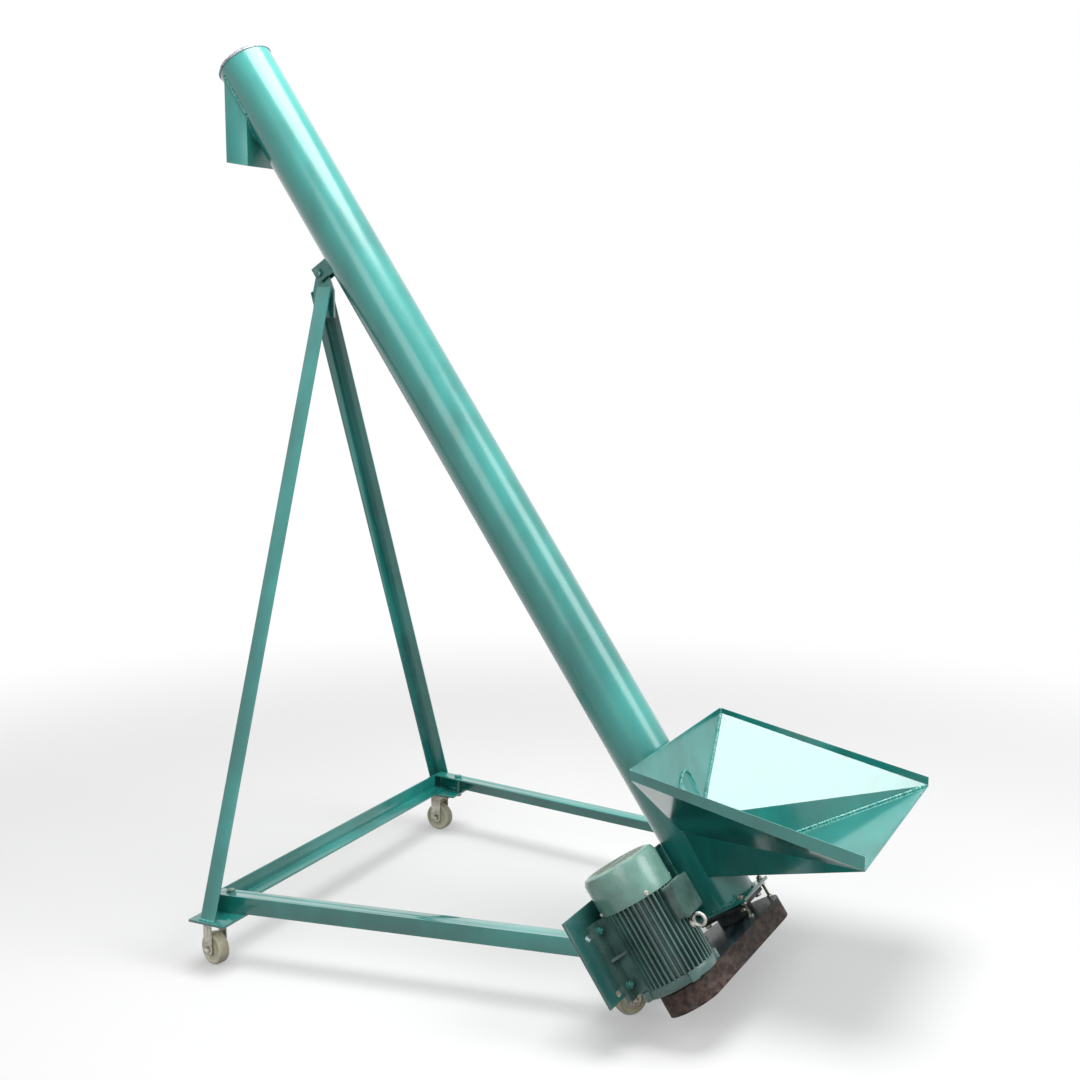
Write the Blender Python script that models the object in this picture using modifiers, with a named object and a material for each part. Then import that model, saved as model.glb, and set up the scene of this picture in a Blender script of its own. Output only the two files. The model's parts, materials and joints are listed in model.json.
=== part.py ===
"""Mobile grain auger: inclined screw conveyor on a wheeled angle-iron frame.

World frame while building: X runs from the rear cross beam towards the hopper, +Y is the far
side, the motor hangs on the -Y side, +Z is up and the floor is Z = 0. The conveyor pieces are
built in a tilted frame whose local Z is the tube axis, local Y is world Y and local X points out
of the tube's upper side. Everything hangs on one root empty that is moved at the end so the
middle of the footprint is the origin. All lengths are metres.
"""
import math

import bmesh
import bpy
from mathutils import Matrix, Vector

# ---------------------------------------------------------------- driving dimensions
GAP = 0.0003                 # daylight left between pieces that are welded or bolted together
RUN_GAP = 0.0002             # radial clearance of a pin in a plain hole
OVERCUT = 0.02               # how far a cutter runs past the piece it cuts
HOLE_SIDES = 12              # facets of a small drilled hole or bolt shank

# conveyor tube
TUBE_TILT = math.radians(56.35)
TUBE_FOOT_Z = 0.144
TUBE_REST_GAP = 0.00036      # the tube's underside lies against the front beam's top edge
TUBE_OD = 0.140
TUBE_WALL = 0.004
TUBE_LENGTH = 2.360
TUBE_SIDES = 48
INLET_START = 0.082
INLET_END = 0.192
INLET_FLOOR = 0.030
OUTLET_START = 2.210
OUTLET_END = 2.288
OUTLET_HALF = 0.045
OUTLET_ROOF = -0.020
CAP_HEIGHT = 0.020
CAP_RIM = 0.004
CAP_WALL = 0.0025

# screw
SHAFT_PIPE_R = 0.024
SHAFT_LOW_R = 0.0175
SHAFT_TOP_R = 0.0125
SHAFT_STEP_LOW = 0.012
SHAFT_STEP_TOP = 2.318
SHAFT_TOP = 2.345
FLIGHT_R = 0.062
FLIGHT_PITCH = 0.120
FLIGHT_THICK = 0.003
FLIGHT_START = 0.020
FLIGHT_TURNS = 18.5
FLIGHT_STEPS = 12
TOP_BEARING_AT = 2.326
TOP_BEARING_THICK = 0.010
TOP_COLLAR = 0.012
TOP_COLLAR_R = 0.022
LOW_HOLE_GAP = 0.0025        # the shaft passes the lower flange without touching it

# discharge chute
CHUTE_X0 = -0.2565
CHUTE_X1 = -0.1915
CHUTE_HALF = 0.060
CHUTE_WALL = 0.003
CHUTE_TOP = 2.100
CHUTE_LOW_REAR = 1.864
CHUTE_LOW_FRONT = 1.853
SADDLE_PAST = 0.300          # how far the tube-shaped cutter runs past both tube ends

# base frame of angle iron
ANGLE = 0.040
ANGLE_T = 0.004
FRAME_TOP = 0.162
FRAME_LENGTH = 0.9755
FRAME_HALF_REAR = 0.5335
FRAME_HALF_FRONT = 0.3791
CORNER_T = 0.006
CORNERS = {                  # plate edges, each counted from its own corner of the frame
    "rear_near": ((-0.015, 0.085), (-0.0665, 0.0415)),
    "rear_far": ((-0.022, 0.090), (-0.0845, 0.0265)),
    "front_near": ((-0.0705, 0.0295), (-0.0509, 0.0491)),
    "front_far": ((-0.0705, 0.0295), (-0.0491, 0.0509)),
}
CORNER_BOLTS = {             # counted from the rear corners
    "near": (0.035, 0.0285, ("side_beam_near", "rear_beam")),
    "far": (0.078, -0.0335, ("side_beam_far",)),
}
CORNER_BOLT_R = 0.005
CORNER_BOLT_AF = 0.017
CORNER_BOLT_HEAD = 0.007

# legs and tube lug
LEGS = {                     # foot x, foot past the beam's mid flange, top counted from the bolt
    "near": (0.012, 0.0385, (0.0117, -0.0425, -0.034)),
    "far": (-0.018, 0.0015, (-0.0319, 0.0284, -0.034)),
}
LEG_STUB = 0.030
LUG_AT = 1.787
LUG_LENGTH = 0.040
LUG_DEPTH = 0.119
LUG_HALF = 0.0170
LUG_T = 0.004
LUG_BOLT_AT = 1.807
LUG_BOLT_DEPTH = 0.105
LUG_BOLT_R = 0.006
LUG_BOLT_AF = 0.019
LUG_BOLT_HEAD = 0.008
HEAD_T = 0.009
HEAD_R = 0.016
HEAD_LOW = -0.109            # head plate's lower edge, shoulder and sides, from the bolt
HEAD_SHOULDER = -0.042
HEAD_X = (-0.0265, 0.0327)

# casters
WHEEL_R = 0.0375
WHEEL_TREAD = 0.028
WHEEL_HUB = 0.036
WHEEL_HUB_R = 0.015
WHEEL_ROUND = 0.004
WHEEL_DISH = 0.002
CASTER_TRAIL = 0.022
CASTER_PLATE = 0.060
CASTER_PLATE_T = 0.003
RACE_R = 0.021
RACE_H = 0.008
KINGPIN_R = 0.005
KINGPIN_HEAD_R = 0.008
KINGPIN_HEAD_H = 0.003
FORK_WIDTH = 0.044
FORK_T = 0.0025
FORK_CHEEK = 0.030
FORK_NOSE = 0.022
AXLE_R = 0.005
AXLE_AF = 0.014
AXLE_HEAD = 0.006
CASTERS = {                  # kingpin counted from its own corner of the frame, and heading
    "rear_near": (0.035, -0.0145, 163.3),
    "rear_far": (0.037, -0.0345, 175.6),
    "front_near": (-0.0105, 0.0041, 52.9),
    "front_far": (-0.0205, 0.0009, 170.0),
}

# hopper
HOP_T = 0.002
HOP_LIPS = {"near": (0.022, 0.030), "far": (0.013, 0.019)}     # rim height at rear and front
HOP_REAR = (0.944, 0.2905, 0.520)
HOP_FRONT = (1.463, 0.2950, 0.410)
HOP_THROAT_UP = (0.981, 0.074, 0.326)
HOP_THROAT_LOW = (1.061, 0.074, 0.227)
HOP_SKIRT = 0.016
HOP_SHRINK = 0.0012

# drive
FLANGE_HALF = 0.080
FLANGE_T = 0.008
BEARING_HALF = 0.062
BEARING_PLATE = 0.014
BEARING_BOSS_R = 0.045
DRIVE_FACE = 0.0465
MOTOR_Y = -0.410
MOTOR_H = 0.090
PLATE_FACE = -0.060
PLATE_T = 0.006
PLATE_ALONG = (-0.006, 0.190)
PLATE_OUT = -0.565
SLOT_HALF = 0.042
SLOT_R = 0.006
FOOT_SPAN = 0.140
FOOT_PITCH = 0.125
FOOT_FIRST = 0.008
MOTOR_BODY = (-0.020, 0.151)
MOTOR_CORE_R = 0.072
MOTOR_FIN_R = 0.0835
MOTOR_BORE_R = 0.0475
MOTOR_FINS = 30
FOOT_HALF = 0.090
FOOT_T = 0.010
FOOT_HOLE_R = 0.005
FOOT_WEB = 0.012
FOOT_WEB_Y = 0.044
FIN_FREE = 56.0
SHIELD_R = 0.081
SHIELD_T = 0.0205
SHIELD_LUG_R = 0.091
SHIELD_LUG_HALF = 0.010
SHIELD_BOSS_R = 0.034
REAR_SHIELD_T = 0.009
REAR_BOSS = 0.007
REAR_BOSS_R = 0.030
COVER_R = 0.084
COVER_T = 0.0015
COVER_LENGTH = 0.084
COVER_ROUND = 0.014
GRILLE_R = 0.062
GRILLE_BARS = 8
GRILLE_SLOT = 0.006
GRILLE_EDGE = 0.056
GRILLE_RIB = 0.004
FAN_R = 0.066
FAN_HUB_R = 0.018
FAN_BLADES = 7
FAN_BLADE = 0.0015
FAN_DEPTH = 0.028
FAN_OFFSET = 0.024
ROTOR_R = 0.0468
ROTOR_IN = 0.015
MOTOR_SHAFT_R = 0.012
TBOX_ALONG = (0.075, 0.149)
TBOX_HALF = 0.045
TBOX_HEIGHT = 0.020
EYE_AT = 0.055
EYE_R = 0.013
EYE_WIRE = 0.004
EYE_NECK = 0.006
EYE_SHANK_R = 0.007
PULLEY_FACE = (-0.086, -0.052)
PULLEY_SMALL_R = 0.0375
PULLEY_BIG_R = 0.088
GROOVES = (-0.0765, -0.0615)
GROOVE_HALF = 0.0068
GROOVE_FLARE = 0.0008
GROOVE_DEPTH = 0.011
BELT_HALF = 0.0062
BELT_T = 0.008
BELT_SINK = 0.0015
SHAFT_PAST = 0.0035          # shaft ends stand out past the pulleys, clear of the guard cover
GUARD_T = 0.0015
GUARD_DEPTH = 0.092
GUARD_SMALL_R = 0.061
GUARD_BIG_R = 0.105
GUARD_HOLE_R = 0.022

# colours
GREEN = (0.02, 0.33, 0.27, 1.0)
STEEL = (0.55, 0.55, 0.54, 1.0)
ZINC = (0.42, 0.40, 0.38, 1.0)
NYLON = (0.78, 0.74, 0.55, 1.0)
MOTOR_GREEN = (0.16, 0.36, 0.32, 1.0)
IRON = (0.06, 0.07, 0.07, 1.0)
GUARD_BLACK = (0.10, 0.07, 0.06, 1.0)
BELT_BLACK = (0.02, 0.02, 0.02, 1.0)

# ---------------------------------------------------------------- scene set-up
for old in list(bpy.data.objects):
    bpy.data.objects.remove(old, do_unlink=True)

PARTS = bpy.data.collections.new("grain_auger")
CUTTERS = bpy.data.collections.new("cutters")
bpy.context.scene.collection.children.link(PARTS)
bpy.context.scene.collection.children.link(CUTTERS)

MATERIALS = {}


def material(name, colour, metallic, roughness):
    if name not in MATERIALS:
        made = bpy.data.materials.new(name)
        made.use_nodes = True
        shader = made.node_tree.nodes["Principled BSDF"]
        shader.inputs["Base Color"].default_value = colour
        shader.inputs["Metallic"].default_value = metallic
        shader.inputs["Roughness"].default_value = roughness
        MATERIALS[name] = made
    return MATERIALS[name]


FINISHES = {
    "green": (GREEN, 0.0, 0.35),
    "steel": (STEEL, 1.0, 0.4),
    "zinc": (ZINC, 1.0, 0.5),
    "nylon": (NYLON, 0.0, 0.5),
    "motor": (MOTOR_GREEN, 0.0, 0.45),
    "iron": (IRON, 0.2, 0.5),
    "guard": (GUARD_BLACK, 0.2, 0.45),
    "belt": (BELT_BLACK, 0.0, 0.8),
}


def empty(name, matrix, parent=None):
    made = bpy.data.objects.new(name, None)
    PARTS.objects.link(made)
    made.parent = parent
    made.matrix_local = matrix
    return made


def add_mesh(name, mesh, matrix, parent, finish):
    """Links a mesh under its parent empty, shaded smooth with its creases kept sharp."""
    made = bpy.data.objects.new(name, mesh)
    mesh.materials.clear()
    mesh.materials.append(material(name + "_" + finish, *FINISHES[finish]))
    mesh.polygons.foreach_set("use_smooth", [True] * len(mesh.polygons))
    mesh.set_sharp_from_angle(angle=math.radians(32))
    PARTS.objects.link(made)
    made.parent = parent
    made.matrix_local = matrix
    return made


def tidy(mesh):
    work = bmesh.new()
    work.from_mesh(mesh)
    bmesh.ops.remove_doubles(work, verts=work.verts, dist=1e-6)
    bmesh.ops.recalc_face_normals(work, faces=work.faces)
    work.to_mesh(mesh)
    work.free()
    return mesh


def outline_mesh(name, loops, z0, z1):
    """A flat shape given by its outer loop and any hole loops, extruded from z0 to z1."""
    curve = bpy.data.curves.new(name, "CURVE")
    curve.dimensions = "2D"
    curve.fill_mode = "BOTH"
    curve.extrude = (z1 - z0) / 2
    for loop in loops:
        spline = curve.splines.new("POLY")
        spline.points.add(len(loop) - 1)
        for point, (x, y) in zip(spline.points, loop):
            point.co = (x, y, 0.0, 1.0)
        spline.use_cyclic_u = True
    holder = bpy.data.objects.new(name, curve)
    bpy.context.scene.collection.objects.link(holder)
    graph = bpy.context.evaluated_depsgraph_get()
    mesh = bpy.data.meshes.new_from_object(holder.evaluated_get(graph))
    bpy.data.objects.remove(holder, do_unlink=True)
    bpy.data.curves.remove(curve)
    mesh.transform(Matrix.Translation((0, 0, (z0 + z1) / 2)))
    return tidy(mesh)


def plate(name, loops, z0, z1, matrix, parent, finish):
    return add_mesh(name, outline_mesh(name, loops, z0, z1), matrix, parent, finish)


def box_mesh(name, low, high):
    work = bmesh.new()
    bmesh.ops.create_cube(work, size=1.0)
    size = Vector(high) - Vector(low)
    middle = (Vector(high) + Vector(low)) / 2
    for vert in work.verts:
        vert.co = Vector((vert.co.x * size.x, vert.co.y * size.y, vert.co.z * size.z)) + middle
    mesh = bpy.data.meshes.new(name)
    work.to_mesh(mesh)
    work.free()
    return mesh


def box(name, low, high, matrix, parent, finish):
    return add_mesh(name, box_mesh(name, low, high), matrix, parent, finish)


def rod_mesh(name, radius, z0, z1, sides):
    work = bmesh.new()
    bmesh.ops.create_cone(work, cap_ends=True, segments=sides, radius1=radius, radius2=radius,
                          depth=z1 - z0, matrix=Matrix.Translation((0, 0, (z0 + z1) / 2)))
    mesh = bpy.data.meshes.new(name)
    work.to_mesh(mesh)
    work.free()
    return mesh


def turned(name, profile, sides, matrix, parent, finish):
    """A lathe piece: (radius, z) points down the outer side, closed into a ring by Screw."""
    mesh = bpy.data.meshes.new(name)
    count = len(profile)
    open_ends = profile[0][0] == 0.0 and profile[-1][0] == 0.0
    edges = [(i, i + 1) for i in range(count - 1)]
    if not open_ends:
        edges.append((count - 1, 0))
    mesh.from_pydata([(r, 0.0, z) for r, z in profile], edges, [])
    made = add_mesh(name, mesh, matrix, parent, finish)
    screw = made.modifiers.new("lathe", "SCREW")
    screw.axis = "Z"
    screw.steps = sides
    screw.render_steps = sides
    screw.use_merge_vertices = True
    screw.merge_threshold = 1e-6
    screw.use_smooth_shade = True
    screw.use_normal_calculate = False
    return made


def tool(name, mesh, matrix, parent):
    """A hidden cutter or joiner shape in the second collection."""
    made = bpy.data.objects.new(name, mesh)
    CUTTERS.objects.link(made)
    made.parent = parent
    made.matrix_local = matrix
    made.hide_render = True
    made.display_type = "WIRE"
    return made


def join_shape(target, other, operation):
    step = target.modifiers.new(other.name, "BOOLEAN")
    step.operation = operation
    step.solver = "EXACT"
    step.object = other


def cut(target, name, mesh, matrix=None, parent=None):
    join_shape(target, tool(name, mesh, matrix or Matrix(), parent), "DIFFERENCE")


def weld(target, name, mesh, matrix=None, parent=None):
    join_shape(target, tool(name, mesh, matrix or Matrix(), parent), "UNION")


def circle(x, y, radius, count, start=0.0):
    return [(x + radius * math.cos(start + 2 * math.pi * i / count),
             y + radius * math.sin(start + 2 * math.pi * i / count)) for i in range(count)]


def slot_loop(x, y, half, radius, count=6):
    """A slot running along y, its round ends `half` away from the middle."""
    loop = []
    for i in range(count + 1):
        turn = math.pi * i / count
        loop.append((x + radius * math.cos(turn), y + half - radius + radius * math.sin(turn)))
    for i in range(count + 1):
        turn = math.pi + math.pi * i / count
        loop.append((x + radius * math.cos(turn), y - half + radius + radius * math.sin(turn)))
    return loop


def belt_loop(y0, r0, x1, y1, r1, count=16):
    """Outline of a band round two circles: one at (0, y0) and one at (x1, y1)."""
    reach = math.hypot(x1, y1 - y0)
    heading = math.atan2(y1 - y0, x1)
    lean = math.acos((r0 - r1) / reach)
    loop = []
    for i in range(count + 1):
        turn = heading + lean + (2 * math.pi - 2 * lean) * i / count
        loop.append((r0 * math.cos(turn), y0 + r0 * math.sin(turn)))
    for i in range(count + 1):
        turn = heading - lean + 2 * lean * i / count
        loop.append((x1 + r1 * math.cos(turn), y1 + r1 * math.sin(turn)))
    return loop


def frame_from(origin, x_axis, y_axis, z_axis):
    matrix = Matrix.Identity(4)
    for column, axis in enumerate((x_axis, y_axis, z_axis, origin)):
        for row in range(3):
            matrix[row][column] = axis[row]
    return matrix


def bolt(name, radius, across_flats, head, start, end, matrix, parent, finish):
    """Shank from start to end along z, with a hex head above start and a hex nut below end."""
    made = add_mesh(name, rod_mesh(name, radius, end - head * 1.25, start + head / 2, HOLE_SIDES),
                    matrix, parent, finish)
    hex_r = across_flats / math.sqrt(3)
    weld(made, name + "_head", rod_mesh(name, hex_r, start, start + head, 6), matrix, parent)
    weld(made, name + "_nut", rod_mesh(name, hex_r, end - head, end, 6), matrix, parent)
    return made


ROOT = empty("auger_root", Matrix())
LEAN = Matrix.Rotation(TUBE_TILT - math.pi / 2, 4, "Y")
TUBE_R = TUBE_OD / 2
TUBE_FOOT_X = FRAME_LENGTH + ((FRAME_TOP - TUBE_FOOT_Z) * math.cos(TUBE_TILT)
                              + TUBE_R + TUBE_REST_GAP) / math.sin(TUBE_TILT)
AXIS = empty("tube_axis", Matrix.Translation((TUBE_FOOT_X, 0, TUBE_FOOT_Z)) @ LEAN, ROOT)
MOTOR_N = PLATE_FACE + MOTOR_H
MOTOR = empty("motor_axis", Matrix.Translation((MOTOR_N, MOTOR_Y, 0)), AXIS)
BORE_R = TUBE_R - TUBE_WALL
FRAME_LOW = FRAME_TOP - ANGLE
CORNER_TOP = FRAME_LOW - GAP
CORNER_LOW = CORNER_TOP - CORNER_T
ALONG_Y = Matrix.Rotation(math.pi / 2, 4, "X")
ALONG_X = Matrix.Rotation(math.pi / 2, 4, "Y")


def frame_corner(place):
    """Outer corner of the angle frame, such as rear_near."""
    end, side = place.split("_")
    half = FRAME_HALF_REAR if end == "rear" else FRAME_HALF_FRONT
    return 0.0 if end == "rear" else FRAME_LENGTH, -half if side == "near" else half


def saddle_tool(name):
    return rod_mesh(name, TUBE_R + GAP, -SADDLE_PAST, TUBE_LENGTH + SADDLE_PAST, TUBE_SIDES)


# ---------------------------------------------------------------- base frame
def sheared_bar(name, loop, x0, x1, slope, parent):
    """Angle iron whose ends lie square to X while it runs off sideways by `slope`."""
    mesh = outline_mesh(name, [loop], x0, x1)
    turn = Matrix(((0, 0, 1, 0), (1, 0, 0, 0), (0, 1, 0, 0), (0, 0, 0, 1)))
    skew = Matrix(((1, 0, 0, 0), (slope, 1, 0, 0), (0, 0, 1, 0), (0, 0, 0, 1)))
    mesh.transform(skew @ turn)
    return add_mesh(name, tidy(mesh), Matrix(), parent, "green")


SLOPE = (FRAME_HALF_REAR - FRAME_HALF_FRONT) / FRAME_LENGTH


def side_beam(side, sign):
    """Vertical flange outside, top flange turned in; the top is coped over the rear beam."""
    half = sign * FRAME_HALF_REAR
    inner = sign * (FRAME_HALF_REAR - ANGLE)
    web = sign * (FRAME_HALF_REAR - ANGLE_T)
    shelf = FRAME_TOP - ANGLE_T
    loop = [(half, FRAME_LOW), (half, FRAME_TOP), (inner, FRAME_TOP), (inner, shelf),
            (web, shelf), (web, FRAME_LOW)]
    beam = sheared_bar("side_beam_" + side, loop, 0.0, FRAME_LENGTH, -sign * SLOPE, ROOT)
    low = min(sign * (FRAME_HALF_REAR - ANGLE_T - GAP), sign * (FRAME_HALF_REAR - ANGLE * 2))
    high = max(sign * (FRAME_HALF_REAR - ANGLE_T - GAP), sign * (FRAME_HALF_REAR - ANGLE * 2))
    cut(beam, "cope_rear_" + side,
        box_mesh("cope", (-OVERCUT, low, FRAME_LOW - OVERCUT),
                 (ANGLE_T + GAP, high, FRAME_TOP + OVERCUT)), None, ROOT)
    reach = FRAME_HALF_FRONT - ANGLE_T - GAP
    low = min(sign * reach, sign * (reach - ANGLE * 2))
    high = max(sign * reach, sign * (reach - ANGLE * 2))
    cut(beam, "cope_front_" + side,
        box_mesh("cope", (FRAME_LENGTH - ANGLE - GAP, low, FRAME_LOW - OVERCUT),
                 (FRAME_LENGTH + OVERCUT, high, FRAME_TOP + OVERCUT)), None, ROOT)
    return beam


for SIDE, SIGN in (("near", -1), ("far", 1)):
    side_beam(SIDE, SIGN)


def cross_bar(name, loop, half):
    mesh = outline_mesh(name, [loop], -half, half)
    mesh.transform(ALONG_Y)
    return add_mesh(name, tidy(mesh), Matrix(), ROOT, "green")


REAR_HALF = FRAME_HALF_REAR - ANGLE_T - 2 * GAP - SLOPE * ANGLE
cross_bar("rear_beam", [(0, FRAME_LOW), (ANGLE, FRAME_LOW), (ANGLE, FRAME_LOW + ANGLE_T),
                        (ANGLE_T, FRAME_LOW + ANGLE_T), (ANGLE_T, FRAME_TOP), (0, FRAME_TOP)],
          REAR_HALF)
FRONT_HALF = FRAME_HALF_FRONT - ANGLE_T - 2 * GAP
FRONT_IN = FRAME_LENGTH - ANGLE_T
cross_bar("cross_beam", [(FRAME_LENGTH, FRAME_LOW), (FRAME_LENGTH, FRAME_TOP),
                         (FRAME_LENGTH - ANGLE, FRAME_TOP),
                         (FRAME_LENGTH - ANGLE, FRAME_TOP - ANGLE_T),
                         (FRONT_IN, FRAME_TOP - ANGLE_T), (FRONT_IN, FRAME_LOW)], FRONT_HALF)

for PLACE, (SPAN_X, SPAN_Y) in CORNERS.items():
    CORNER_X, CORNER_Y = frame_corner(PLACE)
    X0, X1 = (CORNER_X + x for x in SPAN_X)
    Y0, Y1 = (CORNER_Y + y for y in SPAN_Y)
    LOOPS = [[(X0, Y0), (X1, Y0), (X1, Y1), (X0, Y1)]]
    END, SIDE = PLACE.split("_")
    if END == "rear":
        BOLT_X, BOLT_Y, HELD = CORNER_BOLTS[SIDE]
        LOOPS.append(circle(CORNER_X + BOLT_X, CORNER_Y + BOLT_Y, CORNER_BOLT_R + RUN_GAP,
                            HOLE_SIDES))
    plate("corner_plate_" + PLACE, LOOPS, CORNER_LOW, CORNER_TOP, Matrix(), ROOT, "green")

for SIDE, (X, Y, HELD) in CORNER_BOLTS.items():
    CORNER_X, CORNER_Y = frame_corner("rear_" + SIDE)
    AT = Matrix.Translation((CORNER_X + X, CORNER_Y + Y, 0))
    bolt("corner_bolt_" + SIDE, CORNER_BOLT_R, CORNER_BOLT_AF, CORNER_BOLT_HEAD, FRAME_TOP + GAP,
         CORNER_LOW - GAP, AT, ROOT, "green")
    for TARGET in HELD:
        cut(bpy.data.objects[TARGET], "bolt_hole_" + TARGET,
            rod_mesh("hole", CORNER_BOLT_R + RUN_GAP, CORNER_LOW, FRAME_TOP + OVERCUT,
                     HOLE_SIDES), AT, ROOT)

# ---------------------------------------------------------------- legs, head plate and lug
LUG_BOLT = Vector((-LUG_BOLT_DEPTH, 0, LUG_BOLT_AT))
HEAD_AT = AXIS.matrix_local @ LUG_BOLT
for SIDE, (FOOT_X, FOOT_PAST, PEAK) in LEGS.items():
    FOOT_Y = math.copysign(FRAME_HALF_REAR + ANGLE / 2 + FOOT_PAST, PEAK[1])
    FOOT = Vector((FOOT_X, FOOT_Y, CORNER_TOP + GAP))
    TOP = HEAD_AT + Vector(PEAK)
    RISE = (TOP - FOOT).normalized()
    WIDE = (Vector((1, 0, 0)) - RISE * RISE.x).normalized()
    INWARD = RISE.cross(WIDE)
    TURN = 1 if INWARD.y * FOOT.y < 0 else -1
    LOOP = [(0, 0), (ANGLE, 0), (ANGLE, TURN * ANGLE_T), (ANGLE_T, TURN * ANGLE_T),
            (ANGLE_T, TURN * ANGLE), (0, TURN * ANGLE)]
    LEG = plate("leg_" + SIDE, [LOOP], -LEG_STUB, (TOP - FOOT).length,
                frame_from(FOOT, WIDE, INWARD, RISE), ROOT, "green")
    AROUND = Vector((2 * ANGLE, 2 * ANGLE, 0))
    cut(LEG, "leg_foot_" + SIDE,
        box_mesh("foot", FOOT - AROUND - Vector((0, 0, 2 * LEG_STUB)), FOOT + AROUND), None, ROOT)

LUG_FACE = -TUBE_R - GAP
LUG_LOOP = [(LUG_FACE, -LUG_HALF), (LUG_FACE, LUG_HALF), (-LUG_DEPTH, LUG_HALF),
            (-LUG_DEPTH, LUG_HALF - LUG_T), (LUG_FACE - LUG_T, LUG_HALF - LUG_T),
            (LUG_FACE - LUG_T, LUG_T - LUG_HALF), (-LUG_DEPTH, LUG_T - LUG_HALF),
            (-LUG_DEPTH, -LUG_HALF)]
LUG = plate("tube_lug", [LUG_LOOP], LUG_AT, LUG_AT + LUG_LENGTH, Matrix(), AXIS, "green")
LUG_SPOT = Matrix.Translation(LUG_BOLT) @ ALONG_Y
LUG_HOLE = rod_mesh("lug_hole", LUG_BOLT_R + RUN_GAP, -LUG_HALF - OVERCUT, LUG_HALF + OVERCUT,
                    HOLE_SIDES)
cut(LUG, "lug_hole", LUG_HOLE, LUG_SPOT, AXIS)
bolt("lug_bolt", LUG_BOLT_R, LUG_BOLT_AF, LUG_BOLT_HEAD, LUG_HALF + GAP, -LUG_HALF - GAP, LUG_SPOT, AXIS,
     "green")

HEAD_SIDES = [HEAD_AT.x + x for x in HEAD_X]
HEAD_BASE = HEAD_AT.z + HEAD_LOW
HEAD_STEP = HEAD_AT.z + HEAD_SHOULDER
HEAD_LOOP = [(HEAD_SIDES[1], HEAD_BASE), (HEAD_SIDES[1], HEAD_STEP)]
HEAD_LOOP += [(HEAD_AT.x + HEAD_R * math.cos(math.pi * i / 8),
               HEAD_AT.z + HEAD_R * math.sin(math.pi * i / 8)) for i in range(9)]
HEAD_LOOP += [(HEAD_SIDES[0], HEAD_STEP), (HEAD_SIDES[0], HEAD_BASE)]
HEAD = add_mesh("leg_head", outline_mesh("leg_head", [HEAD_LOOP], -HEAD_T / 2, HEAD_T / 2),
                ALONG_Y, ROOT, "green")
cut(HEAD, "head_hole", LUG_HOLE, LUG_SPOT, AXIS)

# ---------------------------------------------------------------- casters
CASTER_TOP = CORNER_LOW - GAP
RACE_TOP = CASTER_TOP - CASTER_PLATE_T
CROWN_TOP = RACE_TOP - RACE_H - GAP
CROWN_LOW = CROWN_TOP - FORK_T
WHEEL_EDGE = WHEEL_R - WHEEL_ROUND


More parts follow.
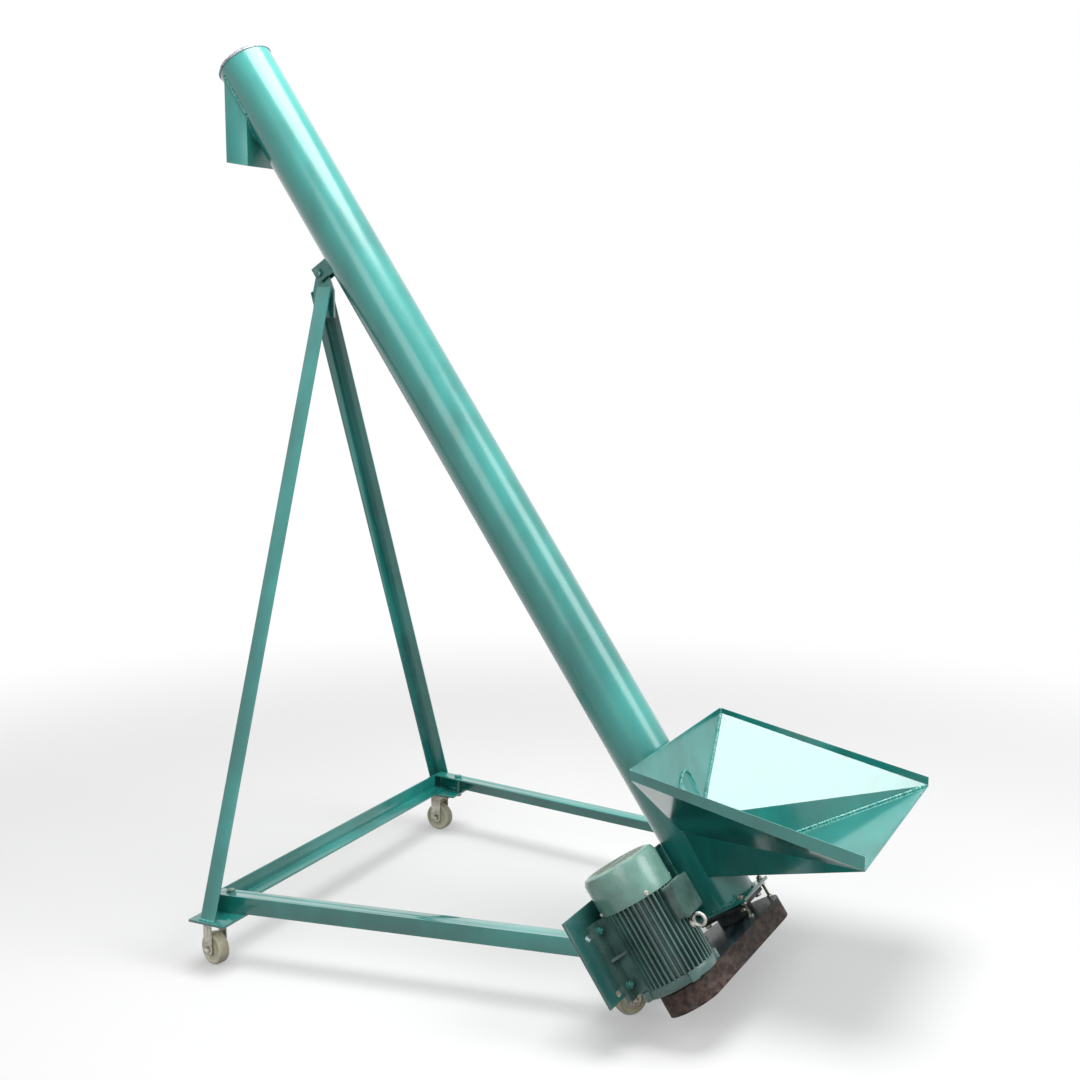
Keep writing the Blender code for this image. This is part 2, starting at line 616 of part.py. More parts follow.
def caster(name, x, y, heading):
    swivel = empty("caster_" + name + "_axis",
                   Matrix.Translation((x, y, 0)) @ Matrix.Rotation(math.radians(heading), 4, "Z"),
                   ROOT)
    half = CASTER_PLATE / 2
    square = Matrix.Rotation(-math.radians(heading), 4, "Z")
    top = box("caster_" + name + "_plate", (-half, -half, RACE_TOP), (half, half, CASTER_TOP),
              square, swivel, "zinc")
    rivet = CROWN_LOW - GAP
    middle = (RACE_TOP + CASTER_TOP) / 2
    weld(top, name + "_race", rod_mesh("race", RACE_R, RACE_TOP - RACE_H, middle, 24), None,
         swivel)
    weld(top, name + "_pin",
         rod_mesh("pin", KINGPIN_R, rivet - KINGPIN_HEAD_H / 2, RACE_TOP, HOLE_SIDES), None,
         swivel)
    weld(top, name + "_rivet",
         rod_mesh("rivet", KINGPIN_HEAD_R, rivet - KINGPIN_HEAD_H, rivet, HOLE_SIDES), None,
         swivel)
    hub = Matrix.Translation((CASTER_TRAIL, 0, WHEEL_R)) @ ALONG_Y
    cheek0 = CASTER_TRAIL - FORK_CHEEK / 2
    nose = FORK_CHEEK / 2
    loop = [(-FORK_NOSE, CROWN_LOW), (cheek0, CROWN_LOW), (cheek0, WHEEL_R)]
    loop += [(CASTER_TRAIL - nose * math.cos(math.pi * i / 8),
              WHEEL_R - nose * math.sin(math.pi * i / 8)) for i in range(1, 8)]
    loop += [(CASTER_TRAIL + nose, WHEEL_R), (CASTER_TRAIL + nose, CROWN_TOP),
             (-FORK_NOSE, CROWN_TOP)]
    fork = add_mesh("caster_" + name + "_fork",
                    outline_mesh("fork", [loop], -FORK_WIDTH / 2, FORK_WIDTH / 2), ALONG_Y,
                    swivel, "zinc")
    inner = FORK_WIDTH / 2 - FORK_T
    cut(fork, name + "_channel",
        box_mesh("channel", (-WHEEL_R * 2, -inner, -OVERCUT), (WHEEL_R * 2, inner, CROWN_LOW)),
        None, swivel)
    cut(fork, name + "_pin_hole",
        rod_mesh("pin_hole", KINGPIN_R + RUN_GAP, CROWN_LOW - OVERCUT, CROWN_TOP + OVERCUT,
                 HOLE_SIDES), None, swivel)
    cut(fork, name + "_axle_hole",
        rod_mesh("axle_hole", AXLE_R + RUN_GAP, -FORK_WIDTH, FORK_WIDTH, HOLE_SIDES), hub, swivel)
    bolt("caster_" + name + "_axle", AXLE_R, AXLE_AF, AXLE_HEAD, FORK_WIDTH / 2 + GAP,
         -FORK_WIDTH / 2 - GAP, hub, swivel, "zinc")
    tread = WHEEL_TREAD / 2
    web = tread - WHEEL_DISH
    side = WHEEL_HUB / 2
    bore = AXLE_R + RUN_GAP
    turned("caster_" + name + "_wheel",
           [(WHEEL_HUB_R, side), (WHEEL_HUB_R, web), (WHEEL_EDGE - WHEEL_ROUND, web),
            (WHEEL_EDGE - WHEEL_ROUND, tread), (WHEEL_EDGE, tread),
            (WHEEL_R, tread - WHEEL_ROUND), (WHEEL_R, WHEEL_ROUND - tread), (WHEEL_EDGE, -tread),
            (WHEEL_EDGE - WHEEL_ROUND, -tread), (WHEEL_EDGE - WHEEL_ROUND, -web),
            (WHEEL_HUB_R, -web), (WHEEL_HUB_R, -side), (bore, -side), (bore, side)],
           24, hub, swivel, "nylon")


for NAME, (X, Y, HEADING) in CASTERS.items():
    CORNER_X, CORNER_Y = frame_corner(NAME)
    caster(NAME, CORNER_X + X, CORNER_Y + Y, HEADING)

# ---------------------------------------------------------------- tube, cap and chute
TUBE = turned("tube", [(TUBE_R, TUBE_LENGTH), (TUBE_R, 0), (BORE_R, 0), (BORE_R, TUBE_LENGTH)],
              TUBE_SIDES, Matrix(), AXIS, "green")
cut(TUBE, "inlet", box_mesh("inlet", (INLET_FLOOR, -TUBE_R - OVERCUT, INLET_START),
                            (TUBE_R + OVERCUT, TUBE_R + OVERCUT, INLET_END)), None, AXIS)
cut(TUBE, "outlet", box_mesh("outlet", (-TUBE_R - OVERCUT, -OUTLET_HALF, OUTLET_START),
                             (OUTLET_ROOF, OUTLET_HALF, OUTLET_END)), None, AXIS)

CAP_BASE = TUBE_LENGTH + GAP
DOME = [(0.0, 1.0), (0.42, 0.92), (0.76, 0.68), (0.95, 0.32)]
CAP_OUT = [(TUBE_R * r, CAP_BASE + CAP_HEIGHT * h) for r, h in DOME]
CAP_IN = [((TUBE_R - CAP_WALL) * r, CAP_BASE + (CAP_HEIGHT - CAP_WALL) * h)
          for r, h in reversed(DOME)]
turned("end_cap", CAP_OUT + [(TUBE_R, CAP_BASE), (TUBE_R - CAP_RIM, CAP_BASE)] + CAP_IN,
       TUBE_SIDES, Matrix(), AXIS, "steel")

CHUTE_LOOP = [(CHUTE_X0, -CHUTE_HALF), (CHUTE_X1, -CHUTE_HALF), (CHUTE_X1, CHUTE_HALF),
              (CHUTE_X0, CHUTE_HALF)]
CHUTE_IN = [(CHUTE_X0 + CHUTE_WALL, CHUTE_WALL - CHUTE_HALF),
            (CHUTE_X1 - CHUTE_WALL, CHUTE_WALL - CHUTE_HALF),
            (CHUTE_X1 - CHUTE_WALL, CHUTE_HALF - CHUTE_WALL),
            (CHUTE_X0 + CHUTE_WALL, CHUTE_HALF - CHUTE_WALL)]
CHUTE = plate("discharge_chute", [CHUTE_LOOP, CHUTE_IN], CHUTE_LOW_FRONT - OVERCUT, CHUTE_TOP,
              Matrix(), ROOT, "green")
cut(CHUTE, "chute_saddle", saddle_tool("saddle"), None, AXIS)
FALL = math.atan2(CHUTE_LOW_REAR - CHUTE_LOW_FRONT, CHUTE_X1 - CHUTE_X0)
cut(CHUTE, "chute_mouth",
    box_mesh("mouth", (-CHUTE_HALF, -2 * CHUTE_HALF, -CHUTE_HALF),
             (3 * CHUTE_HALF, 2 * CHUTE_HALF, 0)),
    Matrix.Translation((CHUTE_X0, 0, CHUTE_LOW_REAR)) @ Matrix.Rotation(FALL, 4, "Y"), ROOT)

# ---------------------------------------------------------------- screw and its bearings
FACE_END = PULLEY_FACE[0] - SHAFT_PAST
turned("auger_shaft", [(0, SHAFT_TOP), (SHAFT_TOP_R, SHAFT_TOP), (SHAFT_TOP_R, SHAFT_STEP_TOP),
                       (SHAFT_PIPE_R, SHAFT_STEP_TOP), (SHAFT_PIPE_R, SHAFT_STEP_LOW),
                       (SHAFT_LOW_R, SHAFT_STEP_LOW), (SHAFT_LOW_R, FACE_END), (0, FACE_END)],
       24, Matrix(), AXIS, "steel")


def flight_mesh(name):
    """One strip of sheet wound round the shaft, made by spinning its section up the axis."""
    work = bmesh.new()
    inner = (SHAFT_PIPE_R + GAP) / math.cos(math.pi / FLIGHT_STEPS)
    corners = [work.verts.new((inner, 0, FLIGHT_START)),
               work.verts.new((FLIGHT_R, 0, FLIGHT_START)),
               work.verts.new((FLIGHT_R, 0, FLIGHT_START + FLIGHT_THICK)),
               work.verts.new((inner, 0, FLIGHT_START + FLIGHT_THICK))]
    face = work.faces.new(corners)
    steps = int(FLIGHT_TURNS * FLIGHT_STEPS)
    bmesh.ops.spin(work, geom=list(work.verts) + list(work.edges) + [face], cent=(0, 0, 0),
                   axis=(0, 0, 1), dvec=(0, 0, FLIGHT_PITCH / FLIGHT_STEPS),
                   angle=2 * math.pi * steps / FLIGHT_STEPS, steps=steps, use_duplicate=False)
    bmesh.ops.recalc_face_normals(work, faces=work.faces)
    mesh = bpy.data.meshes.new(name)
    work.to_mesh(mesh)
    work.free()
    return mesh


add_mesh("auger_flight", flight_mesh("auger_flight"), Matrix(), AXIS, "steel")
BEARING_END = TOP_BEARING_AT + TOP_BEARING_THICK
turned("top_bearing", [(TOP_COLLAR_R, BEARING_END + TOP_COLLAR), (TOP_COLLAR_R, BEARING_END),
                       (BORE_R - GAP, BEARING_END), (BORE_R - GAP, TOP_BEARING_AT),
                       (SHAFT_TOP_R + RUN_GAP, TOP_BEARING_AT),
                       (SHAFT_TOP_R + RUN_GAP, BEARING_END + TOP_COLLAR)],
       TUBE_SIDES, Matrix(), AXIS, "steel")

# ---------------------------------------------------------------- hopper
def corner(point, sign):
    return Vector((point[0], sign * point[1], point[2]))


def sheet(name, points, faces):
    """Folded sheet: the given faces thickened outwards, edges drawn in a little for the weld."""
    middle = sum(points, Vector()) / len(points)
    pulled = [point + (middle - point) * HOP_SHRINK for point in points]
    mesh = bpy.data.meshes.new(name)
    mesh.from_pydata(pulled, [], faces)
    made = add_mesh(name, mesh, Matrix(), ROOT, "green")
    skin = made.modifiers.new("sheet", "SOLIDIFY")
    skin.thickness = HOP_T
    skin.offset = -1.0
    skin.use_even_offset = True
    cut(made, name + "_saddle", saddle_tool("saddle"), None, AXIS)
    return made


def skirt(rim, throat):
    """Runs a wall on past the throat so it reaches the tube."""
    return throat + (throat - rim).normalized() * HOP_SKIRT


def fold(rim, throat, drop):
    """Where the rim strip turns into the slope at the rear, in the rear wall's plane."""
    slope = (throat.x - rim.x) / (rim.z - throat.z)
    return rim + Vector((slope * drop, 0, -drop))


def strip_end(rim, drop):
    """The foot of the rim strip's square-cut front end, where the front wall starts."""
    return rim - Vector((0, 0, drop))


END_WALLS = {"rear": {}, "front": {}}
for SIDE, SIGN in (("near", -1), ("far", 1)):
    REAR = corner(HOP_REAR, SIGN)
    FRONT = corner(HOP_FRONT, SIGN)
    UP = skirt(REAR, corner(HOP_THROAT_UP, SIGN))
    LOW = skirt(FRONT, corner(HOP_THROAT_LOW, SIGN))
    REAR_FOLD = fold(REAR, UP, HOP_LIPS[SIDE][0])
    FRONT_FOLD = strip_end(FRONT, HOP_LIPS[SIDE][1])
    POINTS = [REAR_FOLD, FRONT_FOLD, LOW, UP, REAR, FRONT]
    FACES = [(0, 1, 3), (1, 2, 3), (0, 4, 5, 1)]
    if SIGN > 0:
        FACES = [tuple(reversed(face)) for face in FACES]
    sheet("hopper_wall_" + SIDE, POINTS, FACES)
    END_WALLS["rear"][SIDE] = (REAR, REAR_FOLD, UP)
    END_WALLS["front"][SIDE] = (FRONT_FOLD, LOW)

for END, FACES in (("rear", [(0, 1, 2, 3, 4, 5)]), ("front", [(0, 2, 1), (0, 3, 2)])):
    SIDES = END_WALLS[END]
    POINTS = list(SIDES["near"]) + list(reversed(SIDES["far"]))
    sheet("hopper_wall_" + END, POINTS, FACES)

# ---------------------------------------------------------------- lower flange and bearing
LOW_HOLE = SHAFT_LOW_R + LOW_HOLE_GAP
SQUARE = [(-FLANGE_HALF, -FLANGE_HALF), (FLANGE_HALF, -FLANGE_HALF), (FLANGE_HALF, FLANGE_HALF),
          (-FLANGE_HALF, FLANGE_HALF)]
plate("lower_flange", [SQUARE, circle(0, 0, LOW_HOLE, 24)], -FLANGE_T - GAP, -GAP, Matrix(), AXIS,
      "green")
BEARING_TOP = -FLANGE_T - 2 * GAP
SQUARE = [(-BEARING_HALF, -BEARING_HALF), (BEARING_HALF, -BEARING_HALF),
          (BEARING_HALF, BEARING_HALF), (-BEARING_HALF, BEARING_HALF)]
SEAT_SIDES = 24
SEAT_R = (SHAFT_LOW_R + RUN_GAP) / math.cos(math.pi / SEAT_SIDES)   # its flats clear the shaft
HOUSING = plate("bearing_housing", [SQUARE, circle(0, 0, SEAT_R, SEAT_SIDES)],
                BEARING_TOP - BEARING_PLATE, BEARING_TOP, Matrix(), AXIS, "iron")
weld(HOUSING, "bearing_boss",
     outline_mesh("boss", [circle(0, 0, BEARING_BOSS_R, 24), circle(0, 0, SEAT_R, SEAT_SIDES)],
                  -DRIVE_FACE, BEARING_TOP - BEARING_PLATE / 2), None, AXIS)

# ---------------------------------------------------------------- motor plate
NOTCH_Y = -FLANGE_HALF - GAP
PLATE_Y = (PLATE_OUT, -math.sqrt(TUBE_R ** 2 - PLATE_FACE ** 2) - GAP)
PLATE_LOOPS = [[(PLATE_ALONG[0], PLATE_Y[0]), (PLATE_ALONG[1], PLATE_Y[0]),
                (PLATE_ALONG[1], PLATE_Y[1]), (GAP, PLATE_Y[1]), (GAP, NOTCH_Y),
                (PLATE_ALONG[0], NOTCH_Y)]]
FOOT_SPOTS = (FOOT_FIRST, FOOT_FIRST + FOOT_PITCH)
for ALONG in FOOT_SPOTS:
    for SIGN in (-1, 1):
        PLATE_LOOPS.append(slot_loop(ALONG, MOTOR_Y + SIGN * FOOT_SPAN / 2, SLOT_HALF, SLOT_R))
PLATE_MESH = outline_mesh("motor_plate", PLATE_LOOPS, PLATE_FACE - PLATE_T, PLATE_FACE)
PLATE_MESH.transform(Matrix(((0, 0, 1, 0), (0, 1, 0, 0), (1, 0, 0, 0), (0, 0, 0, 1))))
MOTOR_PLATE = add_mesh("motor_plate", tidy(PLATE_MESH), Matrix(), AXIS, "green")

# ---------------------------------------------------------------- motor
FOOT_N = GAP - MOTOR_H


def fin_loop():
    """Finned outline with two feet: the fins stop where the foot webs leave the body."""
    loop = []
    spread = math.radians(FIN_FREE)
    pitch = (2 * math.pi - 2 * spread) / MOTOR_FINS
    for i in range(MOTOR_FINS):
        base = -math.pi + spread + pitch * i
        for part, radius in ((0.18, MOTOR_CORE_R), (0.30, MOTOR_FIN_R), (0.62, MOTOR_FIN_R),
                             (0.74, MOTOR_CORE_R)):
            turn = base + pitch * part
            loop.append((radius * math.cos(turn), radius * math.sin(turn)))
    outer = FOOT_WEB_Y + FOOT_WEB
    leave = -math.sqrt(MOTOR_CORE_R ** 2 - outer ** 2)
    rise = -math.sqrt(MOTOR_CORE_R ** 2 - FOOT_WEB_Y ** 2)
    side = [(leave, outer), (FOOT_N + FOOT_T, outer), (FOOT_N + FOOT_T, FOOT_HALF),
            (FOOT_N, FOOT_HALF), (FOOT_N, FOOT_WEB_Y), (rise, FOOT_WEB_Y)]
    loop += side + [(-MOTOR_CORE_R, 0)] + [(x, -y) for x, y in reversed(side)]
    return loop


FRAME = plate("motor_frame", [fin_loop(), circle(0, 0, MOTOR_BORE_R, 32)], MOTOR_BODY[0],
              MOTOR_BODY[1], Matrix(), MOTOR, "motor")
FOOT_HOLE_N = FOOT_N + FOOT_T / 2
for ALONG in FOOT_SPOTS:
    for SIGN in (-1, 1):
        SPOT = Matrix.Translation((FOOT_HOLE_N, SIGN * FOOT_SPAN / 2, ALONG)) @ ALONG_X
        cut(FRAME, "foot_hole_%g_%d" % (ALONG, SIGN),
            rod_mesh("hole", FOOT_HOLE_R, -2 * FOOT_T, 2 * FOOT_T, HOLE_SIDES), SPOT, MOTOR)


def lobed_disc(radius, lug_radius, half, count=7):
    """A disc with four square lugs at the diagonals."""
    loop = []
    lean = math.asin(half / radius)
    for quarter in range(4):
        middle = math.pi / 4 + quarter * math.pi / 2
        loop += [(radius * math.cos(middle - lean), radius * math.sin(middle - lean))]
        for side in (-1, 1):
            loop.append((lug_radius * math.cos(middle) - side * half * math.sin(middle),
                         lug_radius * math.sin(middle) + side * half * math.cos(middle)))
        step = (math.pi / 2 - 2 * lean) / count
        for i in range(count):
            turn = middle + lean + step * i
            loop.append((radius * math.cos(turn), radius * math.sin(turn)))
    return loop


SHIELD_TOP = MOTOR_BODY[0] - GAP
SHAFT_BORE = MOTOR_SHAFT_R + RUN_GAP
SHIELD = plate("front_shield", [lobed_disc(SHIELD_R, SHIELD_LUG_R, SHIELD_LUG_HALF),
                                circle(0, 0, SHAFT_BORE, 24)],
               SHIELD_TOP - SHIELD_T, SHIELD_TOP, Matrix(), MOTOR, "motor")
weld(SHIELD, "shield_boss",
     outline_mesh("boss", [circle(0, 0, SHIELD_BOSS_R, 24), circle(0, 0, SHAFT_BORE, 24)],
                  -DRIVE_FACE, SHIELD_TOP - SHIELD_T / 2), None, MOTOR)
REAR_FACE = MOTOR_BODY[1] + GAP
REAR_STEP = REAR_FACE + REAR_SHIELD_T
turned("rear_shield", [(REAR_BOSS_R, REAR_STEP + REAR_BOSS), (REAR_BOSS_R, REAR_STEP),
                       (COVER_R - COVER_T - GAP, REAR_STEP),
                       (COVER_R - COVER_T - GAP, REAR_FACE), (SHAFT_BORE, REAR_FACE),
                       (SHAFT_BORE, REAR_STEP + REAR_BOSS)], 40, Matrix(), MOTOR, "motor")
COVER_END = REAR_FACE + COVER_LENGTH
ARC = [(1 - math.cos(math.radians(a)), math.sin(math.radians(a))) for a in (90, 45, 0)]
COVER_OUT = [(COVER_R - COVER_ROUND * k, COVER_END - COVER_ROUND * (1 - s)) for k, s in ARC]
COVER_INNER = COVER_ROUND - COVER_T
COVER_IN = [(COVER_R - COVER_T - COVER_INNER * k, COVER_END - COVER_T - COVER_INNER * (1 - s))
            for k, s in reversed(ARC)]
COVER = turned("fan_cover", [(0, COVER_END)] + COVER_OUT +
               [(COVER_R, REAR_FACE), (COVER_R - COVER_T, REAR_FACE)] + COVER_IN +
               [(0, COVER_END - COVER_T)], 40, Matrix(), MOTOR, "motor")
for BAR in range(GRILLE_BARS):
    Y = GRILLE_EDGE * (2 * BAR / (GRILLE_BARS - 1) - 1)
    REACH = math.sqrt(GRILLE_R ** 2 - Y ** 2)
    for SIGN in (-1, 1):
        X0, X1 = sorted((SIGN * GRILLE_RIB, SIGN * REACH))
        cut(COVER, "grille_%d_%d" % (BAR, SIGN),
            box_mesh("grille", (X0, Y - GRILLE_SLOT / 2, COVER_END - OVERCUT / 2),
                     (X1, Y + GRILLE_SLOT / 2, COVER_END + OVERCUT)), None, MOTOR)

FAN_LOOP = []
for BLADE in range(FAN_BLADES):
    MIDDLE = 2 * math.pi * BLADE / FAN_BLADES
    for RADIUS, HALF in ((FAN_HUB_R, -FAN_BLADE), (FAN_R, -FAN_BLADE), (FAN_R, FAN_BLADE),
                         (FAN_HUB_R, FAN_BLADE)):
        FAN_LOOP.append((RADIUS * math.cos(MIDDLE) - HALF * math.sin(MIDDLE),
                         RADIUS * math.sin(MIDDLE) + HALF * math.cos(MIDDLE)))
FAN_AT = REAR_FACE + FAN_OFFSET
plate("cooling_fan", [FAN_LOOP, circle(0, 0, MOTOR_SHAFT_R + GAP, 24)], FAN_AT,
      FAN_AT + FAN_DEPTH, Matrix(), MOTOR, "belt")
TAIL = FAN_AT + FAN_DEPTH + SHAFT_PAST
turned("rotor_shaft", [(0, TAIL), (MOTOR_SHAFT_R, TAIL), (MOTOR_SHAFT_R, MOTOR_BODY[1] - ROTOR_IN),
                       (ROTOR_R, MOTOR_BODY[1] - ROTOR_IN), (ROTOR_R, MOTOR_BODY[0] + ROTOR_IN),
                       (MOTOR_SHAFT_R, MOTOR_BODY[0] + ROTOR_IN), (MOTOR_SHAFT_R, FACE_END),
                       (0, FACE_END)], 24, Matrix(), MOTOR, "steel")

TBOX_LOW = MOTOR_FIN_R + GAP
box("terminal_box", (TBOX_LOW, -TBOX_HALF, TBOX_ALONG[0]),
    (TBOX_LOW + TBOX_HEIGHT, TBOX_HALF, TBOX_ALONG[1]), Matrix(), MOTOR, "motor")

EYE_N = MOTOR_FIN_R + EYE_NECK + EYE_R
EYE_SPOT = Matrix.Translation((EYE_N, 0, EYE_AT)) @ ALONG_Y
EYE_RING = [(EYE_R + EYE_WIRE * math.cos(2 * math.pi * i / 8),
             -EYE_WIRE * math.sin(2 * math.pi * i / 8)) for i in range(8)]
EYE = turned("eye_bolt", EYE_RING, 20, EYE_SPOT, MOTOR, "steel")
weld(EYE, "eye_shank",
     rod_mesh("shank", EYE_SHANK_R, MOTOR_FIN_R + GAP, EYE_N - EYE_R, HOLE_SIDES),
     Matrix.Translation((0, 0, EYE_AT)) @ ALONG_X, MOTOR)


# ---------------------------------------------------------------- pulleys, belts and guard
def pulley(name, radius, bore, parent, finish):
    """V-pulley with two grooves; the grooves are a little wider at the rim."""
    profile = [(radius, PULLEY_FACE[1])]
    for middle in reversed(GROOVES):
        floor = radius - GROOVE_DEPTH
        top = middle + GROOVE_HALF
        low = middle - GROOVE_HALF
        profile += [(radius, top + GROOVE_FLARE), (floor, top), (floor, low),
                    (radius, low - GROOVE_FLARE)]
    profile += [(radius, PULLEY_FACE[0]), (bore, PULLEY_FACE[0]), (bore, PULLEY_FACE[1])]
    return turned(name, profile, 28, Matrix(), parent, finish)


pulley("auger_pulley", PULLEY_BIG_R, SHAFT_LOW_R + GAP, AXIS, "iron")
pulley("motor_pulley", PULLEY_SMALL_R, MOTOR_SHAFT_R + GAP, MOTOR, "iron")
for NUMBER, MIDDLE in enumerate(GROOVES):
    OUTER = [belt_loop(0, PULLEY_BIG_R - BELT_SINK, MOTOR_N, MOTOR_Y, PULLEY_SMALL_R - BELT_SINK),
             belt_loop(0, PULLEY_BIG_R - BELT_SINK - BELT_T, MOTOR_N, MOTOR_Y,
                       PULLEY_SMALL_R - BELT_SINK - BELT_T)]
    plate("belt_%d" % (NUMBER + 1), OUTER, MIDDLE - BELT_HALF, MIDDLE + BELT_HALF, Matrix(), AXIS,
          "belt")

GUARD_FACE = -DRIVE_FACE - GAP
GUARD_RIM = belt_loop(0, GUARD_BIG_R, MOTOR_N, MOTOR_Y, GUARD_SMALL_R)
GUARD = plate("belt_guard", [GUARD_RIM, circle(0, 0, GUARD_HOLE_R, 24),
                             circle(MOTOR_N, MOTOR_Y, GUARD_HOLE_R, 24)],
              GUARD_FACE - GUARD_T, GUARD_FACE, Matrix(), AXIS, "guard")
GUARD_WALL = [GUARD_RIM, belt_loop(0, GUARD_BIG_R - GUARD_T, MOTOR_N, MOTOR_Y,
                                   GUARD_SMALL_R - GUARD_T)]
weld(GUARD, "guard_wall", outline_mesh("wall", GUARD_WALL, -GUARD_DEPTH,
                                       GUARD_FACE - GUARD_T / 2), None, AXIS)
plate("guard_cover", [GUARD_RIM], -GUARD_DEPTH - GAP - GUARD_T, -GUARD_DEPTH - GAP, Matrix(),
      AXIS, "guard")

# ---------------------------------------------------------------- put the origin on the footprint
bpy.context.view_layer.update()
GRAPH = bpy.context.evaluated_depsgraph_get()
SPOTS = [piece.matrix_world @ vert.co for piece in PARTS.objects if piece.type == "MESH"
         for vert in piece.evaluated_get(GRAPH).data.vertices]
SPREAD = [[min(spot[i] for spot in SPOTS), max(spot[i] for spot in SPOTS)] for i in range(3)]
ROOT.location = (-(SPREAD[0][0] + SPREAD[0][1]) / 2, -(SPREAD[1][0] + SPREAD[1][1]) / 2,
                 -SPREAD[2][0])
bpy.context.view_layer.update()
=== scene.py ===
import json
import math
import random

import bmesh
import bpy
from mathutils import Matrix, Vector, noise


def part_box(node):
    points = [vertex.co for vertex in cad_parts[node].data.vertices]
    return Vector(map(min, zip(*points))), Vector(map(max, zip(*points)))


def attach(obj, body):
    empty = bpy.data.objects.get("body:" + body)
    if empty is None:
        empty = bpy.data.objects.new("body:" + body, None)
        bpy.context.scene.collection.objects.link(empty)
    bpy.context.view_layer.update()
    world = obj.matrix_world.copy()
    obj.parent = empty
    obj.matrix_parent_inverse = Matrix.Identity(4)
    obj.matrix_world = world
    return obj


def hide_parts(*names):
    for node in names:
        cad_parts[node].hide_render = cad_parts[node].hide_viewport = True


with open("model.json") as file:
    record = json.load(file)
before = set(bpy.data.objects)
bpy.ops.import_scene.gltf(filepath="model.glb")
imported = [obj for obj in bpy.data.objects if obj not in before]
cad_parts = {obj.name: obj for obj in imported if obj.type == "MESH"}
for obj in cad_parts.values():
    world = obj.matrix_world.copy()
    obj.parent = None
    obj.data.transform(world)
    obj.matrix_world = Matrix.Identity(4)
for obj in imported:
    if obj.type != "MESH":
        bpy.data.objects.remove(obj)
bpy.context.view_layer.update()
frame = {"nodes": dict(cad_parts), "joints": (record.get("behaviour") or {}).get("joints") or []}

nodes = frame["nodes"]


# ---------------------------------------------------------------- the yard it stands in
# A pale, level floor that fades into a white surround, an even sky and three broad soft lamps,
# overhead, at the side and in front, which give the enamel its pale streaks without tinting it.
class Wire:
    """One value inside a finish. Python arithmetic on it adds the Math nodes."""

    def __init__(self, tree, socket=None):
        self.tree = tree
        self.socket = socket

    def node(self, kind, settings=None, sockets=None, out=0):
        """Adds any node: its settings first, then the values or links of its sockets."""
        made = self.tree.nodes.new(kind)
        for key, value in (settings or {}).items():
            if key == "stops":
                ramp = made.color_ramp
                while len(ramp.elements) < len(value):
                    ramp.elements.new(0.5)
                for stop, (at, colour) in zip(ramp.elements, value):
                    stop.position = at
                    stop.color = colour
            else:
                setattr(made, key, value)
        for key, value in (sockets or {}).items():
            if isinstance(value, Wire):
                self.tree.links.new(value.socket, made.inputs[key])
            else:
                made.inputs[key].default_value = value
        return Wire(self.tree, made.outputs[out] if made.outputs else None)

    def sum(self, operation, first, second=0.0, clamp=False):
        return self.node("ShaderNodeMath", {"operation": operation, "use_clamp": clamp},
                         {0: first, 1: second})

    def __add__(self, other):
        return self.sum("ADD", self, other)

    __radd__ = __add__

    def __sub__(self, other):
        return self.sum("SUBTRACT", self, other)

    def __rsub__(self, other):
        return self.sum("SUBTRACT", other, self)

    def __mul__(self, other):
        return self.sum("MULTIPLY", self, other)

    __rmul__ = __mul__

    def between(self, low, high):
        """0 below low, 1 above high, and a smooth step in between; low may be the larger."""
        return self.node("ShaderNodeMapRange", {"interpolation_type": "SMOOTHSTEP"},
                         {0: self, 1: low, 2: high})


def rgb(red, green, blue):
    """A colour read off a paint card in the usual 0 to 255 steps."""
    return tuple((v / 255 / 12.92 if v <= 10 else ((v / 255 + 0.055) / 1.055) ** 2.4)
                 for v in (red, green, blue)) + (1.0,)


def blend(mask, first, second):
    """The first colour where the mask is 0, the second where it is 1."""
    return mask.node("ShaderNodeMix", {"data_type": "RGBA"}, {0: mask, 6: first, 7: second}, 2)


def new_finish(name):
    """An empty finish: the material, its start wire and its output node."""
    made = bpy.data.materials.new(name)
    made.use_nodes = True
    made.node_tree.nodes.clear()
    end = made.node_tree.nodes.new("ShaderNodeOutputMaterial")
    return made, Wire(made.node_tree), end


FLOOR_REACH = 30.0
FLOOR_DROP = 0.0004
FLOOR_NEAR = 1.6
FLOOR_FAR = 3.6
FLOOR_GLOW = 0.35
FLOOR_PALE = rgb(240, 241, 240)
FLOOR_BOUNCE = rgb(96, 100, 98)
SKY_LEVEL = 0.27

floor_mesh = bpy.data.meshes.new("yard_floor")
floor_mesh.from_pydata([(x * FLOOR_REACH, y * FLOOR_REACH, -FLOOR_DROP)
                        for x, y in ((-1, -1), (1, -1), (1, 1), (-1, 1))], [], [(0, 1, 2, 3)])
yard = bpy.data.objects.new("yard_floor", floor_mesh)
bpy.context.scene.collection.objects.link(yard)
pale, wire, end = new_finish("pale_floor")
seen = wire.sum("ADD", wire.node("ShaderNodeLightPath", out="Is Camera Ray"),
                wire.node("ShaderNodeLightPath", out="Is Glossy Ray"), clamp=True)
spot = wire.node("ShaderNodeTexCoord", out="Object")
away = wire.node("ShaderNodeVectorMath", {"operation": "LENGTH"}, {0: spot}, "Value")
fade = away.between(FLOOR_NEAR, FLOOR_FAR)
ground = wire.node("ShaderNodeBsdfDiffuse", None,
                   {"Color": blend(seen, FLOOR_BOUNCE, FLOOR_PALE)})
glow = wire.node("ShaderNodeEmission", None, {"Color": (1, 1, 1, 1), "Strength": 1.0})
lit = FLOOR_GLOW + fade * (1 - FLOOR_GLOW)
mixed = wire.node("ShaderNodeMixShader", None, {0: lit * seen, 1: ground, 2: glow})
wire.tree.links.new(mixed.socket, end.inputs["Surface"])
floor_mesh.materials.append(pale)

